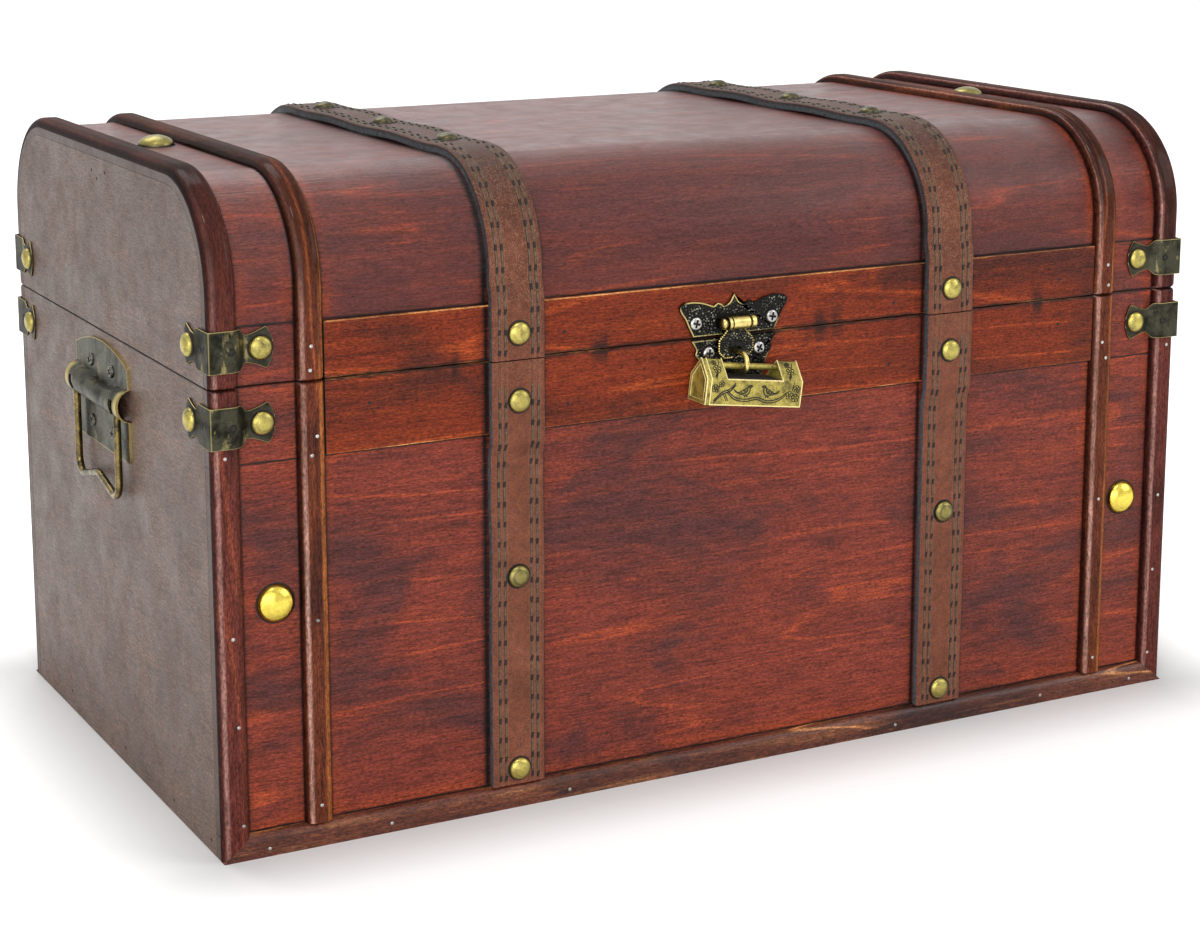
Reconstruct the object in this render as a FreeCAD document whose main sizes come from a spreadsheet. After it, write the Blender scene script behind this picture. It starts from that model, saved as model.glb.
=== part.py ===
import FreeCAD, Part
import os
import re
import Sketcher
from FreeCAD import Placement, Rotation, Vector

# Wooden chest with a bent lid, leather straps, brass trim, a butterfly hasp and a sliding-bolt padlock.
# Frame: origin on the floor under the middle of the box, +X to the right, +Y to the back, +Z up.

# Driving sizes in millimetres and degrees: name, size, meaning
SIZES = (
    ("chest_length", 500, "end panel face to end panel face"),
    ("chest_depth", 273, "front panel face to back panel face"),
    ("base_height", 202, "floor to the rim of the base"),
    ("lid_height", 82.5, "lower edge to the top of the lid skin"),
    ("seam_gap", 0.5, "rim to the lower edge of the closed lid"),
    ("lid_corner_radius", 45, "outside of the bent lid skin"),
    ("end_thickness", 9, "end panels"),
    ("panel_thickness", 5, "front and back panels"),
    ("skin_thickness", 4, "bent lid skin"),
    ("bottom_thickness", 5, "bottom board"),
    ("moulding_width", 12.5, "corner and edge mouldings"),
    ("moulding_proud", 4.3, "mouldings and strips, above the panels"),
    ("moulding_round", 4.1, "rounded long edges of mouldings and strips"),
    ("moulding_end_round", 1.6, "eased ends of mouldings and strips at the seam"),
    ("bottom_moulding_height", 10.5, "front and back bottom mouldings"),
    ("strip_width", 12, "inner strips"),
    ("strip_inset", 44, "end panel face to the middle of an inner strip"),
    ("batten_thickness", 2, "flat battens on both sides of the seam"),
    ("lid_batten_height", 24, "batten on the lid"),
    ("base_batten_height", 32, "batten on the base"),
    ("strap_width", 25, "leather straps"),
    ("strap_thickness", 4.2, "leather straps"),
    ("strap_ramp", 9, "run over which a strap climbs on to a batten"),
    ("strap_bend", 12, "radius of those gentle bends"),
    ("strap_clearance", 2, "end of the climb to the edge of the batten"),
    ("strap_foot_gap", 0.3, "strap end to the bottom moulding"),
    ("stud_diameter", 10.4, "strap and bracket nail heads"),
    ("stud_rise", 3.1, "height of those heads"),
    ("lid_stud_height", 11.5, "lid strap nail above the seam"),
    ("rim_stud_drop", 17.5, "upper strap nail below the seam"),
    ("middle_stud_height", 106, "middle strap nail above the floor"),
    ("foot_stud_height", 18, "lowest strap nail above the floor"),
    ("top_stud_spacing", 72, "strap nails along the top of the lid"),
    ("dome_diameter", 16.6, "large dome nail heads"),
    ("dome_rise", 4.8, "height of those heads"),
    ("dome_inset", 27, "end panel face to the middle of a dome nail"),
    ("dome_height_left", 109, "left dome nail above the floor"),
    ("dome_height_right", 98, "right dome nail above the floor"),
    ("bracket_height", 17.5, "corner brackets"),
    ("bracket_reach", 28.5, "corner to the tip of a bracket leaf"),
    ("bracket_sheet", 0.9, "bracket sheet metal"),
    ("bracket_shoulder", 13, "corner to the end of the full height"),
    ("bracket_waist", 16.5, "corner to the waist of a leaf"),
    ("bracket_waist_half", 5.8, "half height of the waist"),
    ("bracket_horn", 25.2, "corner to the horns of a leaf"),
    ("bracket_tip_half", 4.5, "half height of the blunt tip"),
    ("bracket_nail", 22.9, "corner to the nail"),
    ("bracket_slope", 33, "angle at which a bracket steps down to the panel"),
    ("bracket_play", 0.15, "bracket to the rounded edge of the moulding"),
    ("bracket_seam", 15.5, "middle of a bracket to the seam"),
    ("handle_offset", 3.5, "handle behind the middle of the end panel"),
    ("handle_height", 174.5, "floor to the bail's pivot"),
    ("handle_width", 76, "handle plate"),
    ("handle_drop", 26, "pivot to the foot of the plate"),
    ("handle_shoulder", 16.5, "pivot to the shoulder of the plate"),
    ("handle_arch", 6.5, "rise of the arched top"),
    ("handle_sheet", 1.1, "plate and channel metal"),
    ("channel_rise", 7, "end panel to the crest of the channel"),
    ("channel_root", 7, "half height of the channel at the plate"),
    ("channel_crest", 3, "half height of the channel at its crest"),
    ("channel_scoop_root", 3.4, "upper half of the channel at its middle, at the plate"),
    ("channel_scoop_crest", 1.7, "upper half of the channel at its middle, at the crest"),
    ("bail_wire", 3.4, "bail wire diameter"),
    ("bail_width", 60, "leg to leg"),
    ("bail_length", 45, "pivot to the lower corners"),
    ("bail_dip", 7.5, "rise of the middle of the grip"),
    ("bail_pivot", 7, "length of the pivot ends inside the channel"),
    ("bail_play", 0.25, "wire to channel"),
    ("bail_bend", 3, "bend between pivot and leg"),
    ("bail_corner", 7, "lower corners"),
    ("bail_grip_bend", 9, "bend in the middle of the grip"),
    ("screw_diameter", 6, "hasp and handle screw heads"),
    ("screw_rise", 1.1, "height of the screw heads"),
    ("hinge_width", 40, "hinge along the seam"),
    ("hinge_leaf", 1.4, "leaf thickness"),
    ("hinge_leaf_height", 21, "leaf above or below the seam"),
    ("hinge_knuckle", 4, "knuckle radius, which sets the pin clear of the straps behind"),
    ("hinge_pin", 1.6, "pin radius"),
    ("hinge_play", 0.3, "between knuckles, and knuckle to batten"),
    ("hinge_pin_head", 1, "thickness of the pin's heads"),
    ("hinge_screw", 5, "hinge screw heads"),
    ("pin_fit", 0.05, "pins in their bores, all round"),
    ("hasp_offset", -4, "hasp from the middle of the chest"),
    ("hasp_sheet", 1.2, "butterfly plates"),
    ("hasp_edge", 0.5, "plates to the seam"),
    ("hasp_wing", 28.6, "middle to the tip of an upper wing"),
    ("hasp_wing_rise", 14, "seam to that tip"),
    ("hasp_tail", 18, "seam to the foot of the lower wings"),
    ("hasp_axis_rise", 6, "seam to the tongue's pin"),
    ("hasp_axis_proud", 3.2, "plate face to the tongue's pin"),
    ("hasp_knuckle", 2.9, "knuckle radius"),
    ("hasp_barrel", 10.6, "length of the tongue's knuckle"),
    ("hasp_end_knuckle", 3, "length of each plate knuckle"),
    ("hasp_play", 0.3, "between knuckles"),
    ("hasp_pin", 1.1, "pin radius"),
    ("hasp_upper_screw", 19.7, "middle to the upper screws"),
    ("hasp_lower_screw", 13, "middle to the lower screws"),
    ("hasp_screw_seam", 6.7, "screws to the seam"),
    ("tongue_sheet", 1.4, "tongue thickness"),
    ("tongue_gap", 0.5, "tongue to the lower plate"),
    ("tongue_reach", 16.2, "pin to the foot of the tongue"),
    ("tongue_half_width", 9.3, "widest part of the tongue"),
    ("tongue_slot", 5.8, "slot width"),
    ("tongue_slot_top", 10.7, "pin to the top of the slot"),
    ("staple_wire", 2.4, "staple wire diameter"),
    ("staple_radius", 4.4, "staple, middle of the wire"),
    ("staple_drop", 10.9, "seam to the middle of the staple"),
    ("staple_reach", 11.6, "plate face to the front of the staple, middle of the wire"),
    ("lock_length", 50, "padlock, end to end"),
    ("lock_depth", 15, "padlock, front to back"),
    ("lock_wall", 11.7, "height of the upright faces"),
    ("lock_roof", 8.1, "height of the sloping faces"),
    ("lock_ridge", 0.8, "rounding of the ridge"),
    ("lock_rod_drop", 3.1, "ridge to the middle of the rod"),
    ("lock_rod", 2.8, "rod diameter"),
    ("lock_rod_seat", 5.5, "rod end inside the right post"),
    ("lock_notch", 29, "gap between the posts"),
    ("lock_end_plate", 2, "end plate of the bolt"),
    ("lock_end_recess", 0.6, "sunk field of the end plate"),
    ("lock_end_border", 1.7, "raised border round it"),
    ("lock_chamber_width", 8.4, "spring chamber, front to back"),
    ("lock_chamber_height", 7.4, "spring chamber, height"),
    ("lock_floor", 2, "metal under the chamber"),
    ("lock_end_wall", 4, "metal beyond the chamber"),
    ("lock_keyhole_width", 3.2, "keyhole, front to back"),
    ("lock_keyhole_height", 4.6, "keyhole, height"),
    ("lock_stem", 2.2, "stem inside the chamber"),
    ("lock_stem_length", 34, "end plate to the stem's tip"),
    ("lock_spring", 0.7, "spring blades"),
    ("lock_spring_length", 18, "spring blades, along the stem"),
    ("lock_fit", 0.1, "bolt in the body, all round"),
    ("lock_hang", 0.35, "rod above the staple's lower leg"),
    ("lock_clearance", 0.4, "padlock to the hasp plate"),
    ("lock_shift", 3, "staple to the middle of the padlock, along the rod"),
    ("lock_tilt", 7.5, "padlock, right end down"),
)

doc = FreeCAD.newDocument("treasure_chest")
sheet = doc.addObject("Spreadsheet::Sheet", "Sizes")
for row, (name, size, meaning) in enumerate(SIZES, start=1):
    sheet.set(f"A{row}", name)
    sheet.set(f"B{row}", str(size))
    sheet.set(f"C{row}", meaning)
    sheet.setAlias(f"B{row}", name)
doc.recompute()

# Places that several pieces share, as expressions in the sizes
END = "(chest_length / 2)"
FACE = "(chest_depth / 2)"
BATTEN_FACE = "(chest_depth / 2 + batten_thickness)"
MOULDING_FACE = "(chest_depth / 2 + moulding_proud)"
SEAT = "(base_height + seam_gap)"
TOP = "(base_height + seam_gap + lid_height)"
STRIP_SIDE = "(chest_length / 2 - strip_inset - strip_width / 2)"
STRAP_MIDDLE = "(0.225 * chest_length)"
STRAP_SIDE = f"({STRAP_MIDDLE} + strap_width / 2)"
HINGE_MIDDLE = "(0.31 * chest_length)"

LENGTHWAYS = Vector(1, 0, 0)
DEPTHWAYS = Vector(0, 1, 0)
TOLERANCE = 0.01

# Turns that point an upright cap along an outward direction
FACING = {
    "front": Rotation(LENGTHWAYS, 90),
    "back": Rotation(LENGTHWAYS, -90),
    "left": Rotation(DEPTHWAYS, -90),
    "right": Rotation(DEPTHWAYS, 90),
    "top": Rotation(),
}
OUTWARD = {"front": "-y", "back": "+y", "left": "-x", "right": "+x", "top": "+z"}


def number(expression):
    """Present value of an expression in the sizes."""
    return float(sheet.evalExpression(str(expression)))


def bind(thing, prop, expression):
    """Tie a property to the sheet."""
    names = {name for name, _, _ in SIZES}

    def qualified(word):
        return "Sizes." + word[0] if word[0] in names else word[0]

    tied = re.sub(r"[a-z]\w*", qualified, str(expression))
    thing.setExpression(prop, tied)


def place(thing, x="0", y="0", z="0"):
    """Tie the place of a piece to the sheet."""
    for axis, expression in zip("xyz", (x, y, z)):
        bind(thing, f"Placement.Base.{axis}", expression)
    return thing


def board(label, size, corner):
    """Flat board from its size and its lowest corner."""
    box = doc.addObject("Part::Box", label)
    for prop, expression in zip(("Length", "Width", "Height"), size):
        bind(box, prop, expression)
    return place(box, *corner)


def rod(label, radius, length, x, y, z):
    """Round bar along X, from its left end."""
    bar = doc.addObject("Part::Cylinder", label)
    bar.Placement = Placement(Vector(), Rotation(DEPTHWAYS, 90))
    bind(bar, "Radius", radius)
    bind(bar, "Height", length)
    return place(bar, x, y, z)


def fuse(label, pieces):
    joined = doc.addObject("Part::MultiFuse", label)
    joined.Shapes = pieces
    return joined


def cut(label, piece, tools):
    """Piece with one or more tools taken away."""
    result = doc.addObject("Part::Cut", label)
    result.Base = piece
    result.Tool = tools[0] if len(tools) == 1 else fuse(f"{label}_tools", tools)
    return result


def mirrored(label, piece, normal):
    """Piece seen in the middle plane of the chest."""
    image = doc.addObject("Part::Mirroring", label)
    image.Source = piece
    image.Normal = normal
    return image


def group(label, pieces):
    """Separate solids that share one node."""
    together = doc.addObject("Part::Compound", label)
    together.Links = pieces
    return together


def cap(label, diameter, rise, point, facing):
    """Spherical nail or screw head that sits with its flat side on a point of a surface."""
    head = doc.addObject("Part::Sphere", label)
    radius = f"(({diameter}) ^ 2 / 4 + ({rise}) ^ 2) / (2 * {rise})"
    bind(head, "Radius", radius)
    bind(head, "Angle1", f"asin(1 - {rise} / ({radius}))")
    head.Placement = Placement(Vector(), FACING[facing])
    sign, axis = OUTWARD[facing]
    sunk = dict(zip("xyz", point))
    back = "-" if sign == "+" else "+"
    sunk[axis] = f"{sunk[axis]} {back} (({radius}) - {rise})"
    return place(head, **sunk)


def body(label):
    return doc.addObject("PartDesign::Body", label)


def sketch_on(owner, plane, offset="0"):
    """Sketch on an origin plane of a body, moved along the plane's normal."""
    sketch = owner.newObject("Sketcher::SketchObject", "Sketch")
    support = next(item for item in owner.Origin.OriginFeatures if item.Role == plane)
    sketch.AttachmentSupport = [(support, "")]
    sketch.MapMode = "FlatFace"
    bind(sketch, "AttachmentOffset.Base.z", offset)
    return sketch


def tie(sketch, kind, *where):
    """Constraint whose last entry, its size, is an expression."""
    index = sketch.addConstraint(Sketcher.Constraint(kind, *where[:-1], number(where[-1])))
    bind(sketch, f"Constraints[{index}]", where[-1])


def lock(sketch, geometry, position, corner):
    """Hold a sketch point at a corner given by two expressions."""
    for kind, axis, expression in (("DistanceX", -2, corner[0]), ("DistanceY", -1, corner[1])):
        if abs(number(expression)) < TOLERANCE:
            sketch.addConstraint(Sketcher.Constraint("PointOnObject", geometry, position, axis))
        else:
            tie(sketch, kind, -1, 1, geometry, position, expression)


def bend(before, corner, after, radius):
    """Where a rounded corner starts and ends, its arc, and whether it turns left."""
    if radius == 0:
        return corner, corner, None, True
    inward = (before - corner).normalize()
    outward = (after - corner).normalize()
    middle = (inward + outward).normalize()
    reach = inward.dot(middle)
    distance = radius / (1 - reach ** 2) ** 0.5
    centre = corner + middle * distance
    start = corner + inward * (distance * reach)
    end = corner + outward * (distance * reach)
    left = (corner - before).cross(after - corner).z > 0
    first, last = (start, end) if left else (end, start)
    circle = Part.Circle(centre, Vector(0, 0, 1), radius)
    arc = Part.ArcOfCircle(circle, circle.parameter(first), circle.parameter(last))
    return start, end, arc, left


def trace(sketch, corners, closed=True):
    """Straight runs between corners; a third entry of a corner is its radius. All are expressions."""
    points = [Vector(number(corner[0]), number(corner[1]), 0) for corner in corners]
    radii = [number(corner[2]) if len(corner) == 3 else 0 for corner in corners]
    count = len(points)
    bends = [bend(points[i - 1], points[i], points[(i + 1) % count], radii[i]) for i in range(count)]
    runs = []
    for i in range(count if closed else count - 1):
        run = Part.LineSegment(bends[i][1], bends[(i + 1) % count][0])
        runs.append(sketch.addGeometry(run))
    for i, corner in enumerate(corners):
        arriving = runs[i - 1] if closed or i > 0 else None
        leaving = runs[i] if i < len(runs) else None
        arc, left = bends[i][2:]
        if arc is None:
            if arriving is not None and leaving is not None:
                sketch.addConstraint(Sketcher.Constraint("Coincident", arriving, 2, leaving, 1))
            held = (arriving, 2) if leaving is None else (leaving, 1)
            lock(sketch, *held, corner)
            continue
        rounding = sketch.addGeometry(arc)
        first, last = (1, 2) if left else (2, 1)
        sketch.addConstraint(Sketcher.Constraint("Tangent", arriving, 2, rounding, first))
        sketch.addConstraint(Sketcher.Constraint("Tangent", rounding, last, leaving, 1))
        tie(sketch, "Radius", rounding, corner[2])
        tip = sketch.addGeometry(Part.Point(points[i]), True)
        lock(sketch, tip, 1, corner)
        sketch.addConstraint(Sketcher.Constraint("PointOnObject", tip, 1, arriving))
        sketch.addConstraint(Sketcher.Constraint("PointOnObject", tip, 1, leaving))
    return sketch


def ring(sketch, radius, x="0", y="0"):
    """Circle in a sketch."""
    centre = Vector(number(x), number(y), 0)
    circle = sketch.addGeometry(Part.Circle(centre, Vector(0, 0, 1), number(radius)))
    tie(sketch, "Radius", circle, radius)
    lock(sketch, circle, 3, (x, y))
    return sketch


def pad(owner, sketch, length, symmetric=False, backwards=False):
    feature = owner.newObject("PartDesign::Pad", "Pad")
    feature.Profile = sketch
    bind(feature, "Length", length)
    feature.SideType = "Symmetric" if symmetric else "One side"
    feature.Reversed = backwards
    return feature


def pocket(owner, sketch, length=None, backwards=False):
    """Cut along the sketch's normal, right through where no length is given."""
    feature = owner.newObject("PartDesign::Pocket", "Pocket")
    feature.Profile = sketch
    if length is None:
        feature.Type = "ThroughAll"
        feature.SideType = "Symmetric"
    else:
        bind(feature, "Length", length)
        feature.Reversed = backwards
    return feature


def pipe(owner, section, path):
    feature = owner.newObject("PartDesign::AdditivePipe", "Pipe")
    feature.Profile = section
    feature.Spine = path
    return feature


def loft(owner, kind, sections):
    feature = owner.newObject(f"PartDesign::{kind}", "Loft")
    feature.Profile = sections[0]
    feature.Sections = sections[1:]
    return feature


def soften(owner, chosen, radius):
    """Round the edges of a body that a test picks."""
    doc.recompute()
    base = owner.Tip
    names = [f"Edge{i}" for i, edge in enumerate(base.Shape.Edges, start=1) if chosen(edge)]
    feature = owner.newObject("PartDesign::Fillet", "Fillet")
    feature.Base = (base, names)
    bind(feature, "Radius", radius)
    return feature


def both_sides(half):
    """Closed outline from its right half, listed from one end on the middle line to the other."""
    left = [(f"-({corner[0]})", *corner[1:]) for corner in reversed(half) if number(corner[0]) > TOLERANCE]
    return half + left


def arch(inner, outer):
    """Section of a layer that is bent over the lid, between two heights above the skin."""
    half = []
    for height, turn in ((inner, 1), (outer, -1)):
        side = f"({FACE} + {height})"
        corner = (side, f"{TOP} + {height}", f"lid_corner_radius + {height}")
        foot = (side, SEAT)
        half += [foot, corner][::turn]
    inside, outside = half[:2], half[2:]
    left = [(f"-{corner[0]}", *corner[1:]) for corner in reversed(inside)]
    left_outside = [(f"-{corner[0]}", *corner[1:]) for corner in reversed(outside)]
    return inside + left + left_outside + outside


def height_above_skin(y, z):
    """Distance of a point from the outer face of the lid skin or of a panel."""
    radius = number("lid_corner_radius")
    across = abs(y) - (number(FACE) - radius)
    up = z - (number(TOP) - radius)
    if across > 0 and up > 0:
        return (across ** 2 + up ** 2) ** 0.5 - radius
    return max(across, up) - radius


def on_outer_face(edge, proud):
    """Whether an edge runs along the outer face of a moulding, as its ends and middle show."""
    middle = edge.valueAt((edge.FirstParameter + edge.LastParameter) / 2)
    points = [vertex.Point for vertex in edge.Vertexes] + [middle]
    return all(abs(height_above_skin(point.y, point.z) - proud) < TOLERANCE for point in points)


def same_x(edge):
    """Whether an edge lies in a plane square to the length of the chest."""
    return edge.BoundBox.XLength < TOLERANCE


def at_level(edge, z):
    """Whether an edge lies in a level plane."""
    return abs(edge.BoundBox.ZMin - z) < TOLERANCE and edge.BoundBox.ZLength < TOLERANCE


def wooden_box():
    """Bottom, ends, front, back and battens of the base."""
    inside_length = "chest_length - 2 * end_thickness"
    inside_depth = "chest_depth - 2 * panel_thickness"
    bottom = board(
        "bottom_board",
        (inside_length, inside_depth, "bottom_thickness"),
        ("-chest_length / 2 + end_thickness", "-chest_depth / 2 + panel_thickness", "0"),
    )
    front = board(
        "base_front_panel",
        ("chest_length", "panel_thickness", "base_height"),
        (f"-{END}", f"-{FACE}", "0"),
    )
    left = board(
        "base_left_end_panel",
        ("end_thickness", inside_depth, "base_height"),
        (f"-{END}", "-chest_depth / 2 + panel_thickness", "0"),
    )
    batten = board(
        "base_front_batten",
        (f"2 * {STRIP_SIDE}", "batten_thickness", "base_batten_height"),
        (f"-{STRIP_SIDE}", f"-{BATTEN_FACE}", "base_height - base_batten_height"),
    )
    return [
        bottom,
        front,
        mirrored("base_back_panel", front, DEPTHWAYS),
        left,
        mirrored("base_right_end_panel", left, LENGTHWAYS),
        batten,
        mirrored("base_back_batten", batten, DEPTHWAYS),
    ]


def four_corners(name, piece):
    """A front left piece and its images on the other three corners."""
    back = mirrored(f"{name}_back_left", piece, DEPTHWAYS)
    return [
        piece,
        mirrored(f"{name}_front_right", piece, LENGTHWAYS),
        back,
        mirrored(f"{name}_back_right", back, LENGTHWAYS),
    ]


def front_moulding(label, corners):
    """Moulding on the front panel from its outline in the front view."""
    piece = body(label)
    pad(piece, trace(sketch_on(piece, "XZ_Plane"), corners), "moulding_proud")
    place(piece, y=f"-{FACE}")
    return piece


def base_mouldings():
    """Corner mouldings mitred into the bottom mouldings, and the inner strips."""
    inner = f"-{END} + moulding_width"
    corner = front_moulding(
        "base_corner_moulding_front_left",
        [
            (f"-{END}", "0"),
            (inner, "bottom_moulding_height"),
            (inner, "base_height"),
            (f"-{END}", "base_height"),
        ],
    )
    soften(corner, upright_outer_edge, "moulding_round")
    soften(corner, outer_rim_at_seam, "moulding_end_round")
    bottom = front_moulding(
        "bottom_moulding_front",
        [
            (f"-{END}", "0"),
            (END, "0"),
            (f"{END} - moulding_width", "bottom_moulding_height"),
            (inner, "bottom_moulding_height"),
        ],
    )
    soften(bottom, upper_outer_edge, "moulding_round")
    strip = front_moulding(
        "base_strip_front_left",
        [
            (f"-{STRIP_SIDE} - strip_width", "bottom_moulding_height"),
            (f"-{STRIP_SIDE}", "bottom_moulding_height"),
            (f"-{STRIP_SIDE}", "base_height"),
            (f"-{STRIP_SIDE} - strip_width", "base_height"),
        ],
    )
    soften(strip, upright_outer_edge, "moulding_round")
    soften(strip, outer_rim_at_seam, "moulding_end_round")
    return (
        four_corners("base_corner_moulding", corner)
        + [bottom, mirrored("bottom_moulding_back", bottom, DEPTHWAYS)]
        + four_corners("base_strip", strip)
    )


def outer_face_y(edge):
    """Whether an edge lies on the outer face of a front moulding, in the moulding's own frame."""
    box = edge.BoundBox
    return abs(box.YMin + number("moulding_proud")) < TOLERANCE and box.YLength < TOLERANCE


def upright_outer_edge(edge):
    return outer_face_y(edge) and edge.BoundBox.XLength < TOLERANCE


def upper_outer_edge(edge):
    return outer_face_y(edge) and at_level(edge, number("bottom_moulding_height"))


def outer_rim_at_seam(edge):
    """Outer line of the end face at the seam, without its sides and its line on the panel."""
    box = edge.BoundBox
    return at_level(edge, number("base_height")) and box.YMin < -TOLERANCE and box.XLength > TOLERANCE


def lid_shell():
    """Bent skin, end panels and battens of the lid."""
    skin = body("lid_skin")
    pad(skin, trace(sketch_on(skin, "YZ_Plane"), arch("(-skin_thickness)", "0")), "chest_length")
    place(skin, x=f"-{END}")
    end = body("lid_left_end_panel")
    side = f"({FACE} - skin_thickness)"
    corner = (f"{TOP} - skin_thickness", "lid_corner_radius - skin_thickness")
    outline = [(side, SEAT), (side, *corner), (f"-{side}", *corner), (f"-{side}", SEAT)]
    pad(end, trace(sketch_on(end, "YZ_Plane"), outline), "end_thickness")
    place(end, x=f"-{END}")
    batten = board(
        "lid_front_batten",
        (f"2 * {STRIP_SIDE}", "batten_thickness", "lid_batten_height"),
        (f"-{STRIP_SIDE}", f"-{BATTEN_FACE}", SEAT),
    )
    return [
        skin,
        end,
        mirrored("lid_right_end_panel", end, LENGTHWAYS),
        batten,
        mirrored("lid_back_batten", batten, DEPTHWAYS),
    ]


def bent_moulding(label, width, x):
    """D-shaped moulding bent over the lid."""
    piece = body(label)
    pad(piece, trace(sketch_on(piece, "YZ_Plane"), arch("0", "moulding_proud")), width)
    soften(piece, long_edge_of_arch, "moulding_round")
    soften(piece, outer_rim_at_seat, "moulding_end_round")
    return place(piece, x=x)


def long_edge_of_arch(edge):
    """Edge along the outer face of a bent moulding."""
    return same_x(edge) and on_outer_face(edge, number("moulding_proud"))


def outer_rim_at_seat(edge):
    """Outer line of a bent moulding's end face, without its sides and its line on the skin."""
    box = edge.BoundBox
    outside = max(abs(box.YMin), abs(box.YMax)) > number(FACE) + TOLERANCE
    return at_level(edge, number(SEAT)) and outside and box.XLength > TOLERANCE


def lid_mouldings():
    edge = bent_moulding("lid_moulding_left", "moulding_width", f"-{END}")
    strip = bent_moulding("lid_strip_left", "strip_width", f"-{STRIP_SIDE} - strip_width")
    return [
        edge,
        mirrored("lid_moulding_right", edge, LENGTHWAYS),
        strip,
        mirrored("lid_strip_right", strip, LENGTHWAYS),
    ]


def base_straps():
    """Leather straps from the rim, down off the batten and along the panel to the bottom moulding."""
    piece = body("base_strap_front_left")
    climbed = "(base_height - base_batten_height - strap_clearance)"
    under = [
        (f"-{FACE}", "bottom_moulding_height + strap_foot_gap"),
        (f"-{FACE}", f"{climbed} - strap_ramp", "strap_bend"),
        (f"-{BATTEN_FACE}", climbed, "strap_bend"),
        (f"-{BATTEN_FACE}", "base_height"),
    ]
    over = [(f"{corner[0]} - strap_thickness", *corner[1:]) for corner in reversed(under)]
    pad(piece, trace(sketch_on(piece, "YZ_Plane"), under + over), "strap_width")
    place(piece, x=f"-{STRAP_SIDE}")
    return four_corners("base_strap", piece)


def lid_straps():
    """Leather straps bent over the lid, from batten to batten."""
    piece = body("lid_strap_left")
    left_batten = f"({SEAT} + lid_batten_height + strap_clearance)"
    half = [
        (BATTEN_FACE, SEAT),
        (BATTEN_FACE, left_batten, "strap_bend"),
        (FACE, f"{left_batten} + strap_ramp", "strap_bend"),
        (FACE, TOP, "lid_corner_radius"),
    ]
    over = [(f"({corner[0]} + strap_thickness)", *corner[1:]) for corner in half[:-1]]
    top_bend = (f"{TOP} + strap_thickness", "lid_corner_radius + strap_thickness")
    over.append((f"({FACE} + strap_thickness)", *top_bend))
    under_left = [(f"-{corner[0]}", *corner[1:]) for corner in reversed(half)]
    over_left = [(f"-{corner[0]}", *corner[1:]) for corner in over]
    outline = half + under_left + over_left + over[::-1]
    pad(piece, trace(sketch_on(piece, "YZ_Plane"), outline), "strap_width")
    place(piece, x=f"-{STRAP_SIDE}")
    return [piece, mirrored("lid_strap_right", piece, LENGTHWAYS)]


def bracket(label, z):
    """Sheet-brass corner bracket: flat on the end panel, over the moulding and down to the panel."""
    piece = body(label)
    round_middle = "(moulding_width - moulding_round)"

    def down_slope(y, sheet_out):
        """Where the sloping part meets a level, so that it clears the moulding's rounded edge."""
        gap = f"(moulding_round + bracket_play + {sheet_out})"
        return f"{round_middle} + ({gap} + ({y} - moulding_round) * cos(bracket_slope)) / sin(bracket_slope)"

    out = "bracket_sheet"
    plan = [
        (f"-{out}", "bracket_reach"),
        (f"-{out}", f"-{out}", f"1.5 * {out}"),
        (down_slope(f"(-{out})", out), f"-{out}"),
        (down_slope(f"(moulding_proud - {out})", out), f"moulding_proud - {out}"),
        ("bracket_reach", f"moulding_proud - {out}"),
        ("bracket_reach", "moulding_proud"),
        (down_slope("moulding_proud", "0"), "moulding_proud"),
        (down_slope("0", "0"), "0"),
        ("0", "0"),
        ("0", "bracket_reach"),
    ]
    pad(piece, trace(sketch_on(piece, "XY_Plane"), plan), "bracket_height", symmetric=True)
    half = "bracket_height / 2"
    waste = [
        ("bracket_shoulder", "bracket_height"),
        ("bracket_shoulder", half),
        ("bracket_waist", "bracket_waist_half", "3 * bracket_sheet"),
        ("bracket_horn", half),
        ("bracket_reach", "bracket_tip_half", "bracket_tip_half"),
        ("bracket_reach", "-bracket_tip_half", "bracket_tip_half"),
        ("bracket_horn", f"-{half}"),
        ("bracket_waist", "-bracket_waist_half", "3 * bracket_sheet"),
        ("bracket_shoulder", f"-{half}"),
        ("bracket_shoulder", "-bracket_height"),
        ("2 * bracket_reach", "-bracket_height"),
        ("2 * bracket_reach", "bracket_height"),
    ]
    for plane in ("XZ_Plane", "YZ_Plane"):
        pocket(piece, trace(sketch_on(piece, plane), waste))
    return place(piece, f"-{END}", f"-{MOULDING_FACE}", z)


def brackets():
    nodes = []
    for part, z in (("base", "base_height - bracket_seam"), ("lid", f"{SEAT} + bracket_seam")):
        name = f"{part}_bracket"
        corners = four_corners(name, bracket(f"{name}_front_left", z))
        nodes.append(group(f"{part}_corner_brackets", corners))
    return nodes


def bracket_studs(z):
    """Nails of the four brackets at one height: one on each leaf."""
    on_front = f"({FACE} + bracket_sheet)"
    on_end = f"({END} + bracket_sheet)"
    along = f"({END} - bracket_nail)"
    across = f"({MOULDING_FACE} - bracket_nail)"
    places = []
    for front, y_sign in (("front", "-"), ("back", "")):
        for end, x_sign in (("left", "-"), ("right", "")):
            places.append(((x_sign + along, y_sign + on_front, z), front))
            places.append(((x_sign + on_end, y_sign + across, z), end))
    return places


def heads(label, diameter, rise, places):
    """Nail or screw heads as one node."""
    caps = [cap(f"{label}_{i}", diameter, rise, *spot) for i, spot in enumerate(places, start=1)]
    return group(label, caps)


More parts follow.
